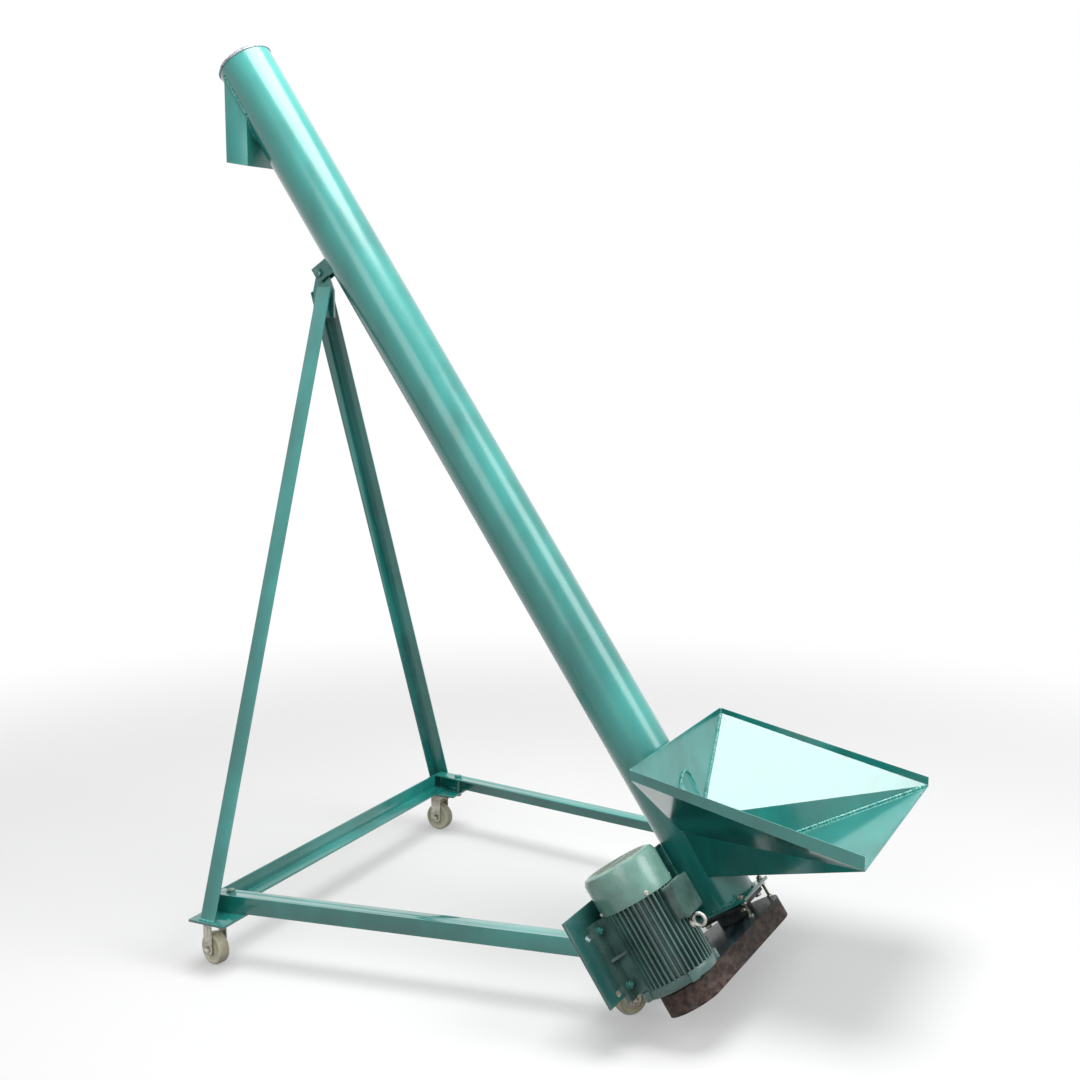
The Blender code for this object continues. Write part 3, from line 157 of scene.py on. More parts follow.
world = bpy.data.worlds.new("sky")
bpy.context.scene.world = world
world.use_nodes = True
world.node_tree.nodes.clear()
wire = Wire(world.node_tree)
seen = wire.node("ShaderNodeLightPath", out="Is Camera Ray")
mirror = wire.node("ShaderNodeLightPath", out="Is Glossy Ray")
through = wire.node("ShaderNodeLightPath", out="Is Transmission Ray")
plain = wire.sum("ADD", seen + mirror, through, clamp=True)
sky = wire.node("ShaderNodeBackground", None,
                {"Color": (1, 1, 1, 1), "Strength": SKY_LEVEL + plain * (1 - SKY_LEVEL)})
wire.tree.links.new(sky.socket, wire.tree.nodes.new("ShaderNodeOutputWorld").inputs["Surface"])


def soft_lamp(name, place, target, size, power):
    """A round lamp of `size` metres and `power` watts at a place, turned to a target."""
    light = bpy.data.lights.new(name, "AREA")
    light.shape = "DISK"
    light.size = size
    light.energy = power
    holder = bpy.data.objects.new(name, light)
    bpy.context.scene.collection.objects.link(holder)
    holder.location = place
    holder.rotation_euler = (Vector(target) - Vector(place)).to_track_quat("-Z", "Y").to_euler()


soft_lamp("overhead_lamp", (0.16, -0.10, 3.9), (0.1, 0, 0.6), 2.3, 108)
soft_lamp("side_lamp", (4.4, 0.4, 4.2), (0, 0, 0.9), 3.0, 104)
soft_lamp("front_lamp", (0.6, -4.8, 3.2), (-0.2, 0, 0.8), 3.0, 58)

LENS = 51.25
SENSOR = 36.0
EYE_PLACE = (1.5976, -3.232, 1.503)
EYE_DOWN = 8.56
EYE_TURN = 26.13
lens = bpy.data.cameras.new("camera")
lens.lens = LENS
lens.sensor_width = SENSOR
eye = bpy.data.objects.new("camera", lens)
bpy.context.scene.collection.objects.link(eye)
eye.location = EYE_PLACE
eye.rotation_euler = (math.radians(90 - EYE_DOWN), 0, math.radians(EYE_TURN))
bpy.context.scene.camera = eye
bpy.context.scene.view_settings.view_transform = "Standard"


# ---------------------------------------------------------------- base frame of angle iron
# Four 40 mm steel angles, welded at the corners to 6 mm plates, then sprayed with one coat of
# teal enamel. The coat is thin on the sheared edges and holds yard dust on its flat tops.
TEAL = rgb(34, 156, 148)
TEAL_DEEP = rgb(20, 124, 117)
TEAL_FRESH = rgb(66, 190, 180)
PRIMER = rgb(70, 62, 54)
YARD_DUST = rgb(158, 142, 118)
WASHED = rgb(160, 208, 196)


def begin(name):
    """An empty finish and the position on the piece, in metres, that its patterns start from."""
    made, wire, end = new_finish(name)
    return made, wire, end, wire.node("ShaderNodeTexCoord", out="Object")


def cloud(spot, size, detail=3.0, rough=0.55, stretch=(1, 1, 1)):
    """Soft patches about `size` metres across, from 0 to 1."""
    moved = spot.node("ShaderNodeVectorMath", {"operation": "MULTIPLY"},
                      {0: spot, 1: tuple(s / size for s in stretch)})
    return spot.node("ShaderNodeTexNoise", None,
                     {"Vector": moved, "Scale": 1.0, "Detail": detail, "Roughness": rough}, 0)


def seal(made, wire, end, colour, rough, metal, bump, coat=0.0, coat_rough=0.08, depth=0.002,
         strength=0.4, shine=0.5):
    """Closes a finish with its Principled shader."""
    lifted = wire.node("ShaderNodeBump", None,
                       {"Strength": strength, "Distance": depth, "Height": bump})
    shader = wire.node("ShaderNodeBsdfPrincipled", None,
                       {"Base Color": colour, "Roughness": rough, "Metallic": metal,
                        "Normal": lifted, "Coat Weight": coat, "Coat Roughness": coat_rough,
                        "Specular IOR Level": shine})
    wire.tree.links.new(shader.socket, end.inputs["Surface"])
    return made


def height_of(spot, axis="Z"):
    """One coordinate of the position, the height unless another axis is named."""
    return spot.node("ShaderNodeSeparateXYZ", None, {0: spot}, axis)


def facing(spot, direction):
    """How far the surface faces a direction, from -1 to 1, in the piece's own frame."""
    way = spot.node("ShaderNodeTexCoord", out="Normal")
    return spot.node("ShaderNodeVectorMath", {"operation": "DOT_PRODUCT"},
                     {0: way, 1: direction}, "Value")


def enamel(name, dust=0.35, chips=0.5, tone=0.0, gloss=0.24, grain=0.0016, soil=0.0,
           deep=TEAL_DEEP, body=TEAL, film=0.06):
    """Sprayed teal enamel: cloudy tone, faint runs, orange peel, dust on top and a few chips."""
    made, wire, end, spot = begin(name)
    patch = cloud(spot, 0.22, 2.0)
    runs = cloud(spot, 0.05, 3.0, stretch=(1, 1, 0.12))
    colour = blend((patch * 0.7 + runs * 0.3 + tone).between(0.36, 0.66), deep, body)
    fresh = (cloud(spot, 0.5, 1.0) + tone).between(0.52, 0.72)
    colour = blend(fresh * 0.45, colour, TEAL_FRESH)
    speck = cloud(spot, grain, 2.0).between(0.5, 0.75)
    colour = blend(speck * 0.10, colour, WASHED)
    upward = facing(spot, (0, 0, 1)).between(0.35, 0.95)
    low = height_of(spot).between(0.30, 0.05)
    settled = cloud(spot, 0.03, 4.0, 0.65).between(0.42, 0.75)
    dusty = (upward * 0.35 + low * 0.45 + soil) * settled * dust
    colour = blend(dusty, colour, YARD_DUST)
    worn = cloud(spot, 0.012, 5.0, 0.7)
    chip = worn.between(0.765, 0.775) * chips
    colour = blend(chip, colour, PRIMER)
    rough = gloss + patch * 0.10 + dusty * 0.5 + chip * 0.3
    peel = cloud(spot, 0.011, 3.0) * 0.2 + cloud(spot, 0.07, 1.0) * 0.8 - chip * 0.4
    clear = wire.sum("SUBTRACT", 1.0, dusty * 2.0, clamp=True)
    return seal(made, wire, end, colour, rough, 0.0, peel, coat=clear, coat_rough=film,
                depth=0.0010, strength=0.16)


JOINED = 1e-6
BEVEL_OVER = 40.0
CREASE_OVER = 32.0


def coat(finish, *names, edge=0.0, segments=2):
    """Gives CAD nodes a finish, smooth shading, and a small radius on their sharp edges."""
    for name in names:
        node = nodes[name]
        node.data.materials.clear()
        node.data.materials.append(finish)
        node.data.polygons.foreach_set("material_index", [0] * len(node.data.polygons))
        node.data.polygons.foreach_set("use_smooth", [True] * len(node.data.polygons))
        seam = node.modifiers.new("joined", "WELD")
        seam.merge_threshold = JOINED
        if edge:
            rounded = node.modifiers.new("edge", "BEVEL")
            rounded.width = edge
            rounded.segments = segments
            rounded.limit_method = "ANGLE"
            rounded.angle_limit = math.radians(BEVEL_OVER)
            rounded.harden_normals = True
            rounded.use_clamp_overlap = True
        else:
            crease = node.modifiers.new("crease", "EDGE_SPLIT")
            crease.split_angle = math.radians(CREASE_OVER)


def show(name, work, finish, body="frame", place=None, split=CREASE_OVER):
    """Turns a finished bmesh into a piece that rides on a body."""
    bmesh.ops.recalc_face_normals(work, faces=work.faces)
    mesh = bpy.data.meshes.new(name)
    work.to_mesh(mesh)
    work.free()
    mesh.polygons.foreach_set("use_smooth", [True] * len(mesh.polygons))
    mesh.set_sharp_from_angle(angle=math.radians(split))
    mesh.materials.append(finish)
    made = bpy.data.objects.new(name, mesh)
    bpy.context.scene.collection.objects.link(made)
    if place is not None:
        made.matrix_world = place
    bpy.context.view_layer.update()
    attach(made, body)
    return made


def ring(work, centre, side, up, radius, count=8):
    """A ring of verts about a centre, in the plane of two unit vectors."""
    return [work.verts.new(centre + radius * (math.cos(2 * math.pi * i / count) * side
                                              + math.sin(2 * math.pi * i / count) * up))
            for i in range(count)]


def bridge(work, first, second):
    """A band of faces between two rings of as many verts."""
    count = len(first)
    for i in range(count):
        work.faces.new((first[i], first[(i + 1) % count], second[(i + 1) % count], second[i]))


def solid(work, rings):
    """Joins rings in turn and closes both ends."""
    for first, second in zip(rings, rings[1:]):
        bridge(work, first, second)
    work.faces.new(list(reversed(rings[0])))
    work.faces.new(rings[-1])


def evenly(path, step):
    """Points spaced `step` apart along a path."""
    points = [Vector(path[0])]
    for a, b in zip(path, path[1:]):
        a, b = Vector(a), Vector(b)
        count = max(1, round((b - a).length / step))
        points += [a.lerp(b, i / count) for i in range(1, count + 1)]
    return points


RIPPLE_STEP = 0.62
RIPPLE_LEAN = Vector((0.31, 0.52, 0.79))


def bead(work, path, radius, seed):
    """A run of weld: overlapping ripples of slightly uneven size laid along a path."""
    chance = random.Random(seed)
    points = evenly(path, radius * RIPPLE_STEP)
    rings = []
    for i, point in enumerate(points):
        after = points[min(i + 1, len(points) - 1)]
        before = points[max(i - 1, 0)]
        ahead = (after - before).normalized()
        side = RIPPLE_LEAN.cross(ahead).normalized()
        up = ahead.cross(side)
        swell = radius * (0.84 + 0.20 * abs(math.sin(i * 0.9)) + chance.uniform(-0.09, 0.09))
        if i in (0, len(points) - 1):
            swell *= 0.45
        drift = side * chance.uniform(-0.12, 0.12) * radius
        rings.append(ring(work, point + drift, side, up, swell))
    solid(work, rings)


def spatter_enamel(name, crown_highlight=0.35):
    """Enamel over a rough weld: tall ripples, a painted highlight on their crowns, painted shade
    and rust in their lows.
    """
    made, wire, end, spot = begin(name)
    lump = cloud(spot, 0.004, 3.0)
    # Painted shade in the ripples' lows and painted highlight on their crowns, from the same noise
    # as the bump.
    colour = blend(lump.between(0.35, 0.65), TEAL_DEEP, TEAL_FRESH)
    colour = blend(lump.between(0.52, 0.66) * crown_highlight, colour, WASHED)
    colour = blend(cloud(spot, 0.016, 3.0).between(0.62, 0.72) * 0.5, colour, PRIMER)
    return seal(made, wire, end, colour, 0.30 + lump * 0.2, 0.0, lump, coat=0.6,
                depth=0.0012, strength=0.6)


BEAM_BEAD = 0.0030
BEAD_LIFT = 0.0004           # a bead's centre line stands this far off the plate
BEAD_OUT = 0.004             # and this far outside the beams
REACH_SHORT = 0.012          # and stops this far short of the plate's edge
BASE_LENGTH = 0.9755
HALF_REAR = 0.5335
HALF_FRONT = 0.3791
BASE_TAPER = (HALF_REAR - HALF_FRONT) / BASE_LENGTH   # each side beam runs in towards the front
weld_enamel = spatter_enamel("weld_enamel")
frame_enamel = enamel("frame_enamel", dust=0.12, chips=0.6)
coat(frame_enamel, "side_beam_near", "side_beam_far", "rear_beam", "cross_beam", edge=0.0010)
plate_enamel = enamel("corner_plate_enamel", dust=0.15, chips=1.0, tone=-0.08, gloss=0.14)
PLATES = ("rear_near", "rear_far", "front_near", "front_far")
coat(plate_enamel, *("corner_plate_" + place for place in PLATES), edge=0.0008)
for number, place in enumerate(PLATES):
    low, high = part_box("corner_plate_" + place)
    end_name, side_name = place.split("_")
    cross = "rear_beam" if end_name == "rear" else "cross_beam"
    beam_low, beam_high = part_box(cross)
    top = high.z + BEAD_LIFT
    outer_x = beam_low.x if end_name == "rear" else beam_high.x
    inward = 1 if end_name == "rear" else -1
    near = side_name == "near"
    outer_y = (beam_low.y - BEAD_OUT) if near else (beam_high.y + BEAD_OUT)
    reach_y = (high.y - REACH_SHORT) if near else (low.y + REACH_SHORT)
    end_x = outer_x - inward * 0.001
    run = bmesh.new()
    bead(run, [(end_x, outer_y, top), (end_x, reach_y, top)], BEAM_BEAD, number)
    slope = BASE_TAPER * (1 if near else -1)
    reach_x = (high.x - BEAD_OUT) if end_name == "rear" else (low.x + BEAD_OUT)
    bead(run, [(outer_x, outer_y, top), (reach_x, outer_y + (reach_x - outer_x) * slope, top)],
         BEAM_BEAD, number + 10)
    show("corner_weld_" + place, run, weld_enamel)


# ---------------------------------------------------------------- corner bolts
# One M10 bolt goes down through each rear corner, beam flange to plate, and was sprayed over
# with the frame, so its head is teal with a bright worn crown.
bolt_enamel = enamel("bolt_enamel", dust=0.7, chips=2.0, tone=-0.1, gloss=0.3)
coat(bolt_enamel, "corner_bolt_near", "corner_bolt_far", edge=0.0006, segments=1)


def turned(work, place, profile, sides):
    """Rings of verts about the place's own z axis, one for each (radius, z) of a profile."""
    return [[work.verts.new(place @ Vector((r * math.cos(2 * math.pi * i / sides),
                                            r * math.sin(2 * math.pi * i / sides), z)))
             for i in range(sides)] for r, z in profile]


def washer(work, place, radius, thick):
    """A flat washer standing on the place's own floor, its outer edge broken."""
    outer = [(radius, 0), (radius, thick * 0.75), (radius - thick * 0.25, thick)]
    solid(work, turned(work, place, outer, 24))


def hexagon(work, place, across_flats, height):
    """A bolt head or nut: six flats under a chamfered crown."""
    r = across_flats / math.sqrt(3)
    solid(work, turned(work, place, [(r, 0), (r, height * 0.78), (r * 0.86, height)], 6))


THREAD = 0.0012
THREAD_ROOT = 0.88


def stud(work, place, radius, length):
    """A threaded end: fine ridges standing on the place's own floor."""
    count = max(2, round(length / (THREAD / 2)))
    solid(work, turned(work, place, [(radius * (1.0 if k % 2 else THREAD_ROOT), length * k / count)
                                     for k in range(count + 1)], 12))


WASHER_R = 0.0125
WASHER_T = 0.0020
WASHER_SUNK = 0.0012
run = bmesh.new()
for side in ("near", "far"):
    low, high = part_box("corner_bolt_" + side)
    middle = (low + high) / 2
    beam_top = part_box("side_beam_" + side)[1].z
    washer(run, Matrix.Translation((middle.x, middle.y, beam_top - WASHER_SUNK)), WASHER_R,
           WASHER_T)
show("corner_bolt_washers", run, bolt_enamel)


# ---------------------------------------------------------------- legs, head plate and tube lug
# Two 40 mm angle legs stand on the rear corner plates and lean in to a thick head plate. One
# bolt hangs the tube's folded lug on that plate. Feet and head are welded, then sprayed.
leg_enamel = enamel("leg_enamel", dust=0.25, chips=0.5)
coat(leg_enamel, "leg_near", "leg_far", "leg_head", edge=0.0010)
lug_enamel = enamel("lug_enamel", dust=0.4, chips=0.9, tone=-0.12, gloss=0.2)
coat(lug_enamel, "tube_lug", edge=0.0008)
coat(bolt_enamel, "lug_bolt", edge=0.0007, segments=1)


def axis_of(name):
    """A joint's place and the unit vector of its axis."""
    joint = next(j for j in frame["joints"] if j["name"] == name)
    return Vector(joint["pos_m"]), Vector(joint["axis"]).normalized()


def frame_of(origin, x_axis, y_axis, z_axis):
    """The matrix of a place with its own three axes."""
    matrix = Matrix.Identity(4)
    for column, axis in enumerate((x_axis, y_axis, z_axis, origin)):
        for row in range(3):
            matrix[row][column] = axis[row]
    return matrix


foot, along = axis_of("screw_spin")
across = Vector((0, 1, 0))
upper = across.cross(along).normalized()
on_tube = frame_of(foot, upper, across, along)
TUBE_R = 0.070
SKIN = 0.0006                # a bead's centre line stands this far off the tube
LUG_SPAN = (1.787, 1.827)
LUG_OUT = 0.0175
run = bmesh.new()
for sign in (-1, 1):
    bead(run, [on_tube @ Vector((-TUBE_R - SKIN, sign * LUG_OUT, at)) for at in LUG_SPAN],
         0.0032, 31 + sign)
show("lug_weld", run, weld_enamel)
LEG_FLANGE = 0.004
plate_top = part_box("corner_plate_rear_near")[1].z
for side, sign in (("near", -1), ("far", 1)):
    verts = [v.co for v in nodes["leg_" + side].data.vertices]
    base = [v for v in verts if v.z < plate_top + 0.004]
    x0, x1 = min(v.x for v in base), max(v.x for v in base)
    y0, y1 = min(v.y for v in base), max(v.y for v in base)
    outer = y0 if side == "near" else y1
    inner = y1 if side == "near" else y0
    z = plate_top + 0.0008
    run = bmesh.new()
    bead(run, [(x1, outer, z), (x0, outer, z), (x0, inner, z)], 0.0034, 41 + sign)
    face_x = x0 + LEG_FLANGE
    face_y = outer - sign * LEG_FLANGE
    bead(run, [(face_x, inner, z), (face_x, face_y, z), (x1, face_y, z)], 0.0028, 51 + sign)
    show("leg_foot_weld_" + side, run, weld_enamel)


# ---------------------------------------------------------------- casters
# Four swivel casters: a pressed, zinc-plated plate and fork round a cream nylon wheel of 75 mm.
# The plating has gone dull and is stained, and the treads are brown from the yard.
ZINC_LIGHT = rgb(206, 204, 192)
ZINC_DARK = rgb(140, 136, 124)
RUST = rgb(112, 72, 44)
CREAM = rgb(252, 250, 226)
CREAM_DEEP = rgb(240, 230, 190)
TREAD_BROWN = rgb(112, 92, 66)


def plating(name, light, dark, rust=0.35, rough=0.38, metal=0.9):
    """Plated or bare steel: mottled spangle, fine rolling marks, stains and spots of rust."""
    made, wire, end, spot = begin(name)
    spangle = cloud(spot, 0.007, 2.0)
    stain = cloud(spot, 0.035, 4.0, 0.65)
    colour = blend((spangle * 0.5 + stain * 0.5).between(0.36, 0.64), dark, light)
    rusty = cloud(spot, 0.014, 5.0, 0.7).between(0.60, 0.72) * rust
    colour = blend(rusty, colour, RUST)
    shine = metal - rusty * 1.2
    return seal(made, wire, end, colour, rough + stain * 0.18 + rusty * 0.4, shine,
                spangle * 0.4 + cloud(spot, 0.0012, 2.0, stretch=(1, 1, 0.1)) * 0.3 + rusty,
                depth=0.0008, strength=0.35)


zinc = plating("zinc_plating", ZINC_LIGHT, ZINC_DARK)
for place in PLATES:
    stem = "caster_" + place
    coat(zinc, stem + "_plate", stem + "_fork", edge=0.0007)
    coat(zinc, stem + "_axle", edge=0.0006, segments=1)

nylon, wire, end, spot = begin("cream_nylon")
radial = spot.node("ShaderNodeVectorMath", {"operation": "MULTIPLY"}, {0: spot, 1: (1, 1, 0)})
radial = spot.node("ShaderNodeVectorMath", {"operation": "LENGTH"}, {0: radial}, "Value")
yellowed = cloud(spot, 0.02, 3.0)
shade = blend(yellowed.between(0.35, 0.7), CREAM, CREAM_DEEP)
WHEEL_R = 0.0375
HUB_R = 0.0165
grime = radial.between(WHEEL_R - 0.0030, WHEEL_R - 0.0003) * 0.45
grime = grime + radial.between(HUB_R, HUB_R - 0.0020) * 0.4
grime = grime * (0.45 + cloud(spot, 0.006, 4.0) * 0.75)
shade = blend(grime, shade, TREAD_BROWN)
scuff = cloud(spot, 0.0035, 4.0, 0.7)
shade = blend(scuff.between(0.64, 0.74) * 0.35, shade, TREAD_BROWN)
seal(nylon, wire, end, shade, 0.34 + grime * 0.4, 0.0, scuff * 0.6 + yellowed * 0.3,
     coat=0.15, depth=0.0006, strength=0.4)


def lathe(work, profile, sides=64, closed=True):
    """A turned shape about z from (radius, z) points."""
    rings = turned(work, Matrix(), profile, sides)
    pairs = list(zip(rings, rings[1:]))
    if closed:
        pairs.append((rings[-1], rings[0]))
    for first, second in pairs:
        bridge(work, first, second)
    return rings


WHEEL_SIDE = [(0.0052, 0.0180), (0.0098, 0.0180), (0.0106, 0.0174), (0.0110, 0.0150),
              (0.0146, 0.0142), (0.0152, 0.0122), (0.0160, 0.0114), (0.0222, 0.0108),
              (0.0284, 0.0114), (0.0292, 0.0128), (0.0300, 0.0138), (0.0330, 0.0140),
              (0.0345, 0.0136), (0.0358, 0.0126), (0.0367, 0.0108), (0.0373, 0.0080),
              (WHEEL_R, 0.0040)]
BEARING_SIDE = [(0.0056, 0.0176), (0.0090, 0.0176), (0.0090, 0.0184), (0.0084, 0.0188),
                (0.0056, 0.0188)]
for place in PLATES:
    axle_at, axle = axis_of(place + "_roll")
    sideways = Vector((0, 0, 1)).cross(axle).normalized()
    hub = frame_of(axle_at, sideways, axle.cross(sideways), axle)
    run = bmesh.new()
    lathe(run, WHEEL_SIDE + [(r, -z) for r, z in reversed(WHEEL_SIDE)])
    wheel = show("wheel_" + place, run, nylon, place + "_wheel", hub, split=50)
    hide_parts("caster_" + place + "_wheel")
    run = bmesh.new()
    for sign in (-1, 1):
        lathe(run, [(r, sign * z) for r, z in BEARING_SIDE], 40)
    show("wheel_bearing_" + place, run, zinc, place + "_wheel", hub)


# ---------------------------------------------------------------- tube, end cap and chute
# A 140 mm steel tube with a pressed cap welded over its upper end and a duct of folded sheet
# saddled under it. The cap was left bare and its weld ground back, so both are dull steel.
CAP_LIGHT = rgb(188, 190, 194)
CAP_DARK = rgb(120, 122, 130)
TUBE_END = 2.360
CAP_R = 0.0699
CAP_RISE = 0.020
CAP_FOOT = 0.0006
CAP_TIP = 0.0006
CAP_STEPS = 14
CAP_SHEET = 0.0022
tube_enamel = enamel("tube_enamel", dust=0.10, chips=0.35, tone=0.03, gloss=0.30, film=0.20)
coat(tube_enamel, "tube")
chute_enamel = enamel("chute_enamel", dust=0.3, chips=0.8, tone=-0.02, gloss=0.42, soil=0.2,
                      film=0.35)
coat(chute_enamel, "discharge_chute", edge=0.0008)
cap_steel = plating("cap_steel", CAP_LIGHT, CAP_DARK, rust=0.2, rough=0.40, metal=0.35)
seam_steel = plating("seam_steel", CAP_LIGHT, CAP_DARK, rust=0.6, rough=0.42, metal=0.6)
profile = [(CAP_TIP, CAP_FOOT + CAP_RISE)]
for i in range(1, CAP_STEPS):
    turn = math.pi / 2 * i / CAP_STEPS
    profile.append((CAP_R * math.sin(turn) ** 0.92, CAP_FOOT + CAP_RISE * math.cos(turn) ** 0.9))
profile.append((CAP_R, CAP_FOOT))
run = bmesh.new()
rings = lathe(run, profile, 72, closed=False)
run.faces.new(rings[0])
inner = lathe(run, [(r * 0.965, max(0.0, z - CAP_SHEET)) for r, z in profile[1:]], 72,
              closed=False)
run.faces.new(list(reversed(inner[0])))
bridge(run, rings[-1], inner[-1])
for vert in run.verts:
    dent = noise.noise(vert.co * 28) * 0.0007 + noise.noise(vert.co * 90) * 0.00025
    vert.co.z += dent * min(1.0, vert.co.z / 0.008)   # the dents die out towards the rim
run.transform(frame_of(foot + along * TUBE_END, upper, across, along))
cap = show("pressed_cap", run, cap_steel)
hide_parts("end_cap")


def girth(radius, at, count=96):
    """Points once round the tube's axis, at a distance along it."""
    return [on_tube @ Vector((radius * math.cos(2 * math.pi * i / count),
                              radius * math.sin(2 * math.pi * i / count), at))
            for i in range(count)]


circle = girth(TUBE_R + 0.0002, TUBE_END + 0.0002)
run = bmesh.new()
bead(run, circle + [circle[0].lerp(circle[-1], 0.1)], 0.0022, 61)
show("cap_weld", run, seam_steel)

FOOT_X = 1.072               # from the base frame's rear end to the tube's foot
home = Vector((foot.x - FOOT_X, foot.y, 0))   # the frame's rear end, on the floor
CHUTE_X = (-0.2565, -0.1915)
CHUTE_HALF = 0.060
CHUTE_STEPS = 24


def under_skin(x, y):
    """The point on the tube's underside above (x, y)."""
    n = -math.sqrt((TUBE_R + SKIN) ** 2 - y ** 2)
    reach = (foot.x + n * upper.x - (x + home.x)) / -along.x
    return foot + upper * n + across * y + along * reach


def chute_side(sign):
    """The line where one side of the duct meets the tube."""
    return [under_skin(CHUTE_X[1] + (CHUTE_X[0] - CHUTE_X[1]) * i / CHUTE_STEPS,
                       sign * (CHUTE_HALF + SKIN)) for i in range(CHUTE_STEPS + 1)]


run = bmesh.new()
for sign, seed in ((-1, 71), (1, 72)):
    bead(run, chute_side(sign), 0.0030, seed)
for x in (CHUTE_X[0] - SKIN, CHUTE_X[1] + SKIN):
    bead(run, [under_skin(x, CHUTE_HALF * (2 * i / CHUTE_STEPS - 1))
               for i in range(CHUTE_STEPS + 1)], 0.0028, 73)
chute_weld = spatter_enamel("chute_weld_enamel", crown_highlight=1.0)
show("chute_weld", run, chute_weld)


# ---------------------------------------------------------------- hopper
# Four pieces of 2 mm sheet, sheared and folded by hand, seam-welded from inside and welded to
# the tube over its inlet. The sides keep an upright rim strip. It is the glossiest piece.
hopper_enamel = enamel("hopper_enamel", dust=0.06, chips=0.3, tone=0.02, gloss=0.14,
                       film=0.10)
coat(hopper_enamel, "hopper_wall_near", "hopper_wall_far", "hopper_wall_rear",
     "hopper_wall_front")
# each corner: from the frame's rear end, off the middle, above the floor
RIM_REAR = Vector((0.944, 0.2905, 0.520))
RIM_FRONT = Vector((1.463, 0.2950, 0.410))
THROAT_UP = Vector((0.981, 0.074, 0.326))
THROAT_LOW = Vector((1.061, 0.074, 0.227))
REAR_LEAN = 0.037 / 0.194    # how far the rear wall leans in for each metre down
STRIPS = {-1: (0.022, 0.030), 1: (0.013, 0.019)}   # rim strips, near and far: rear end, front end
SEAM_STEPS = 20
SEAM_BEAD = 0.0036
SEAM_WANDER = 0.0014
hopper_weld = spatter_enamel("hopper_weld_enamel", crown_highlight=0.9)


def seam(rim, throat, lean, inward, sign, strip, number):
    """A wandering seam in a corner: down the strip at the rear, and on down to the throat."""
    inside = Vector((inward * 0.0010, -sign * 0.0030, 0.0010))
    top = Vector((rim.x, rim.y * sign, rim.z)) + home + inside
    fold = top + Vector((lean * strip, 0, -strip))
    end = Vector((throat.x, throat.y * sign, throat.z)) + home + inside
    path = [fold.lerp(end, t / SEAM_STEPS)
            + Vector((0, noise.noise(Vector((t, sign, number))) * SEAM_WANDER, 0))
            for t in range(SEAM_STEPS + 1)]
    if number == 0:
        path = [top.lerp(fold, t / 3) for t in range(3)] + path
    return path


run = bmesh.new()
for sign in (-1, 1):
    rear_strip, front_strip = STRIPS[sign]
    bead(run, seam(RIM_REAR, THROAT_UP, REAR_LEAN, 1, sign, rear_strip, 0), SEAM_BEAD, 80 + sign)
    bead(run, seam(RIM_FRONT, THROAT_LOW, 0.0, -1, sign, front_strip, 1), SEAM_BEAD, 81 + sign)
show("hopper_seams", run, hopper_weld)

ARCH_HALF = math.radians(72)
ARCH_R = 0.0712
ARCH_STEPS = 40
across_wall = Vector((1, 0, REAR_LEAN)).normalized()
wall_point = RIM_REAR + home + Vector((0.0018, -RIM_REAR.y, 0))
arch = []
for i in range(ARCH_STEPS + 1):
    turn = ARCH_HALF * (2 * i / ARCH_STEPS - 1)
    skin = foot + upper * ARCH_R * math.cos(turn) + across * ARCH_R * math.sin(turn)
    reach = (wall_point - skin).dot(across_wall) / along.dot(across_wall)
    arch.append(skin + along * reach)
run = bmesh.new()
bead(run, arch, 0.0030, 86)
show("inlet_weld", run, hopper_weld)


# ---------------------------------------------------------------- screw and its bearings
# Inside the tube: a pipe shaft with a strip of sheet wound and welded round it, running in a
# plain top bearing. Grain keeps the flight bright; the shaft ends are turned steel.
POLISHED = rgb(178, 178, 174)
POLISHED_DARK = rgb(128, 126, 120)
screw_steel = plating("screw_steel", POLISHED, POLISHED_DARK, rust=0.25, rough=0.28)
coat(screw_steel, "auger_shaft", "auger_flight", "top_bearing")


# ---------------------------------------------------------------- lower flange and bearing
# A square flange welded on the tube's foot carries the cast bearing housing below it. Four long
# studs at the flange corners hold the flange, and stand the belt guard off beneath.
IRON_BASE = rgb(48, 54, 56)
IRON_HIGH = rgb(84, 92, 92)
flange_enamel = enamel("flange_enamel", dust=0.5, chips=0.9, gloss=0.18)
coat(flange_enamel, "lower_flange", edge=0.0010)


def casting(name, base, high, oil=0.5):
    """Rough cast iron with thin dark paint, oily in patches and dusty in the grain."""
    made, wire, end, spot = begin(name)
    sand = cloud(spot, 0.0022, 3.0)
    patch = cloud(spot, 0.03, 3.0)
    colour = blend(patch.between(0.35, 0.7), base, high)
    colour = blend(sand.between(0.58, 0.72) * 0.4, colour, YARD_DUST)
    wet = patch.between(0.62, 0.48) * oil
    return seal(made, wire, end, colour, 0.62 - wet * 0.34 + sand * 0.1, 0.15, sand, coat=0.1,
                depth=0.0008, strength=0.5)


iron = casting("cast_iron_paint", IRON_BASE, IRON_HIGH)
coat(iron, "bearing_housing", edge=0.0009)
run = bmesh.new()
bead(run, girth(TUBE_R + 0.0012, 0.0010), 0.0032, 91)
show("flange_weld", run, weld_enamel)

STUD_PITCH = 0.0665
STUD_R = 0.0038
STUD_PAST = 0.0176           # how far a stud passes the flange's underside
GUARD_BACK = -0.0468
GUARD_NUT = GUARD_BACK + 0.0002
FLANGE_TOP = -0.0003
FLANGE_LOW = -0.0083
NUT_FLATS = 0.0126
NUT_HIGH = 0.0060
STUD_WASHER = 0.0014
OVER = Matrix.Rotation(math.pi, 4, "X")
CORNERS = tuple((sx, sy) for sx in (-1, 1) for sy in (-1, 1))


def lift(place, height):
    """The place moved along its own z axis."""
    return place @ Matrix.Translation((0, 0, height))


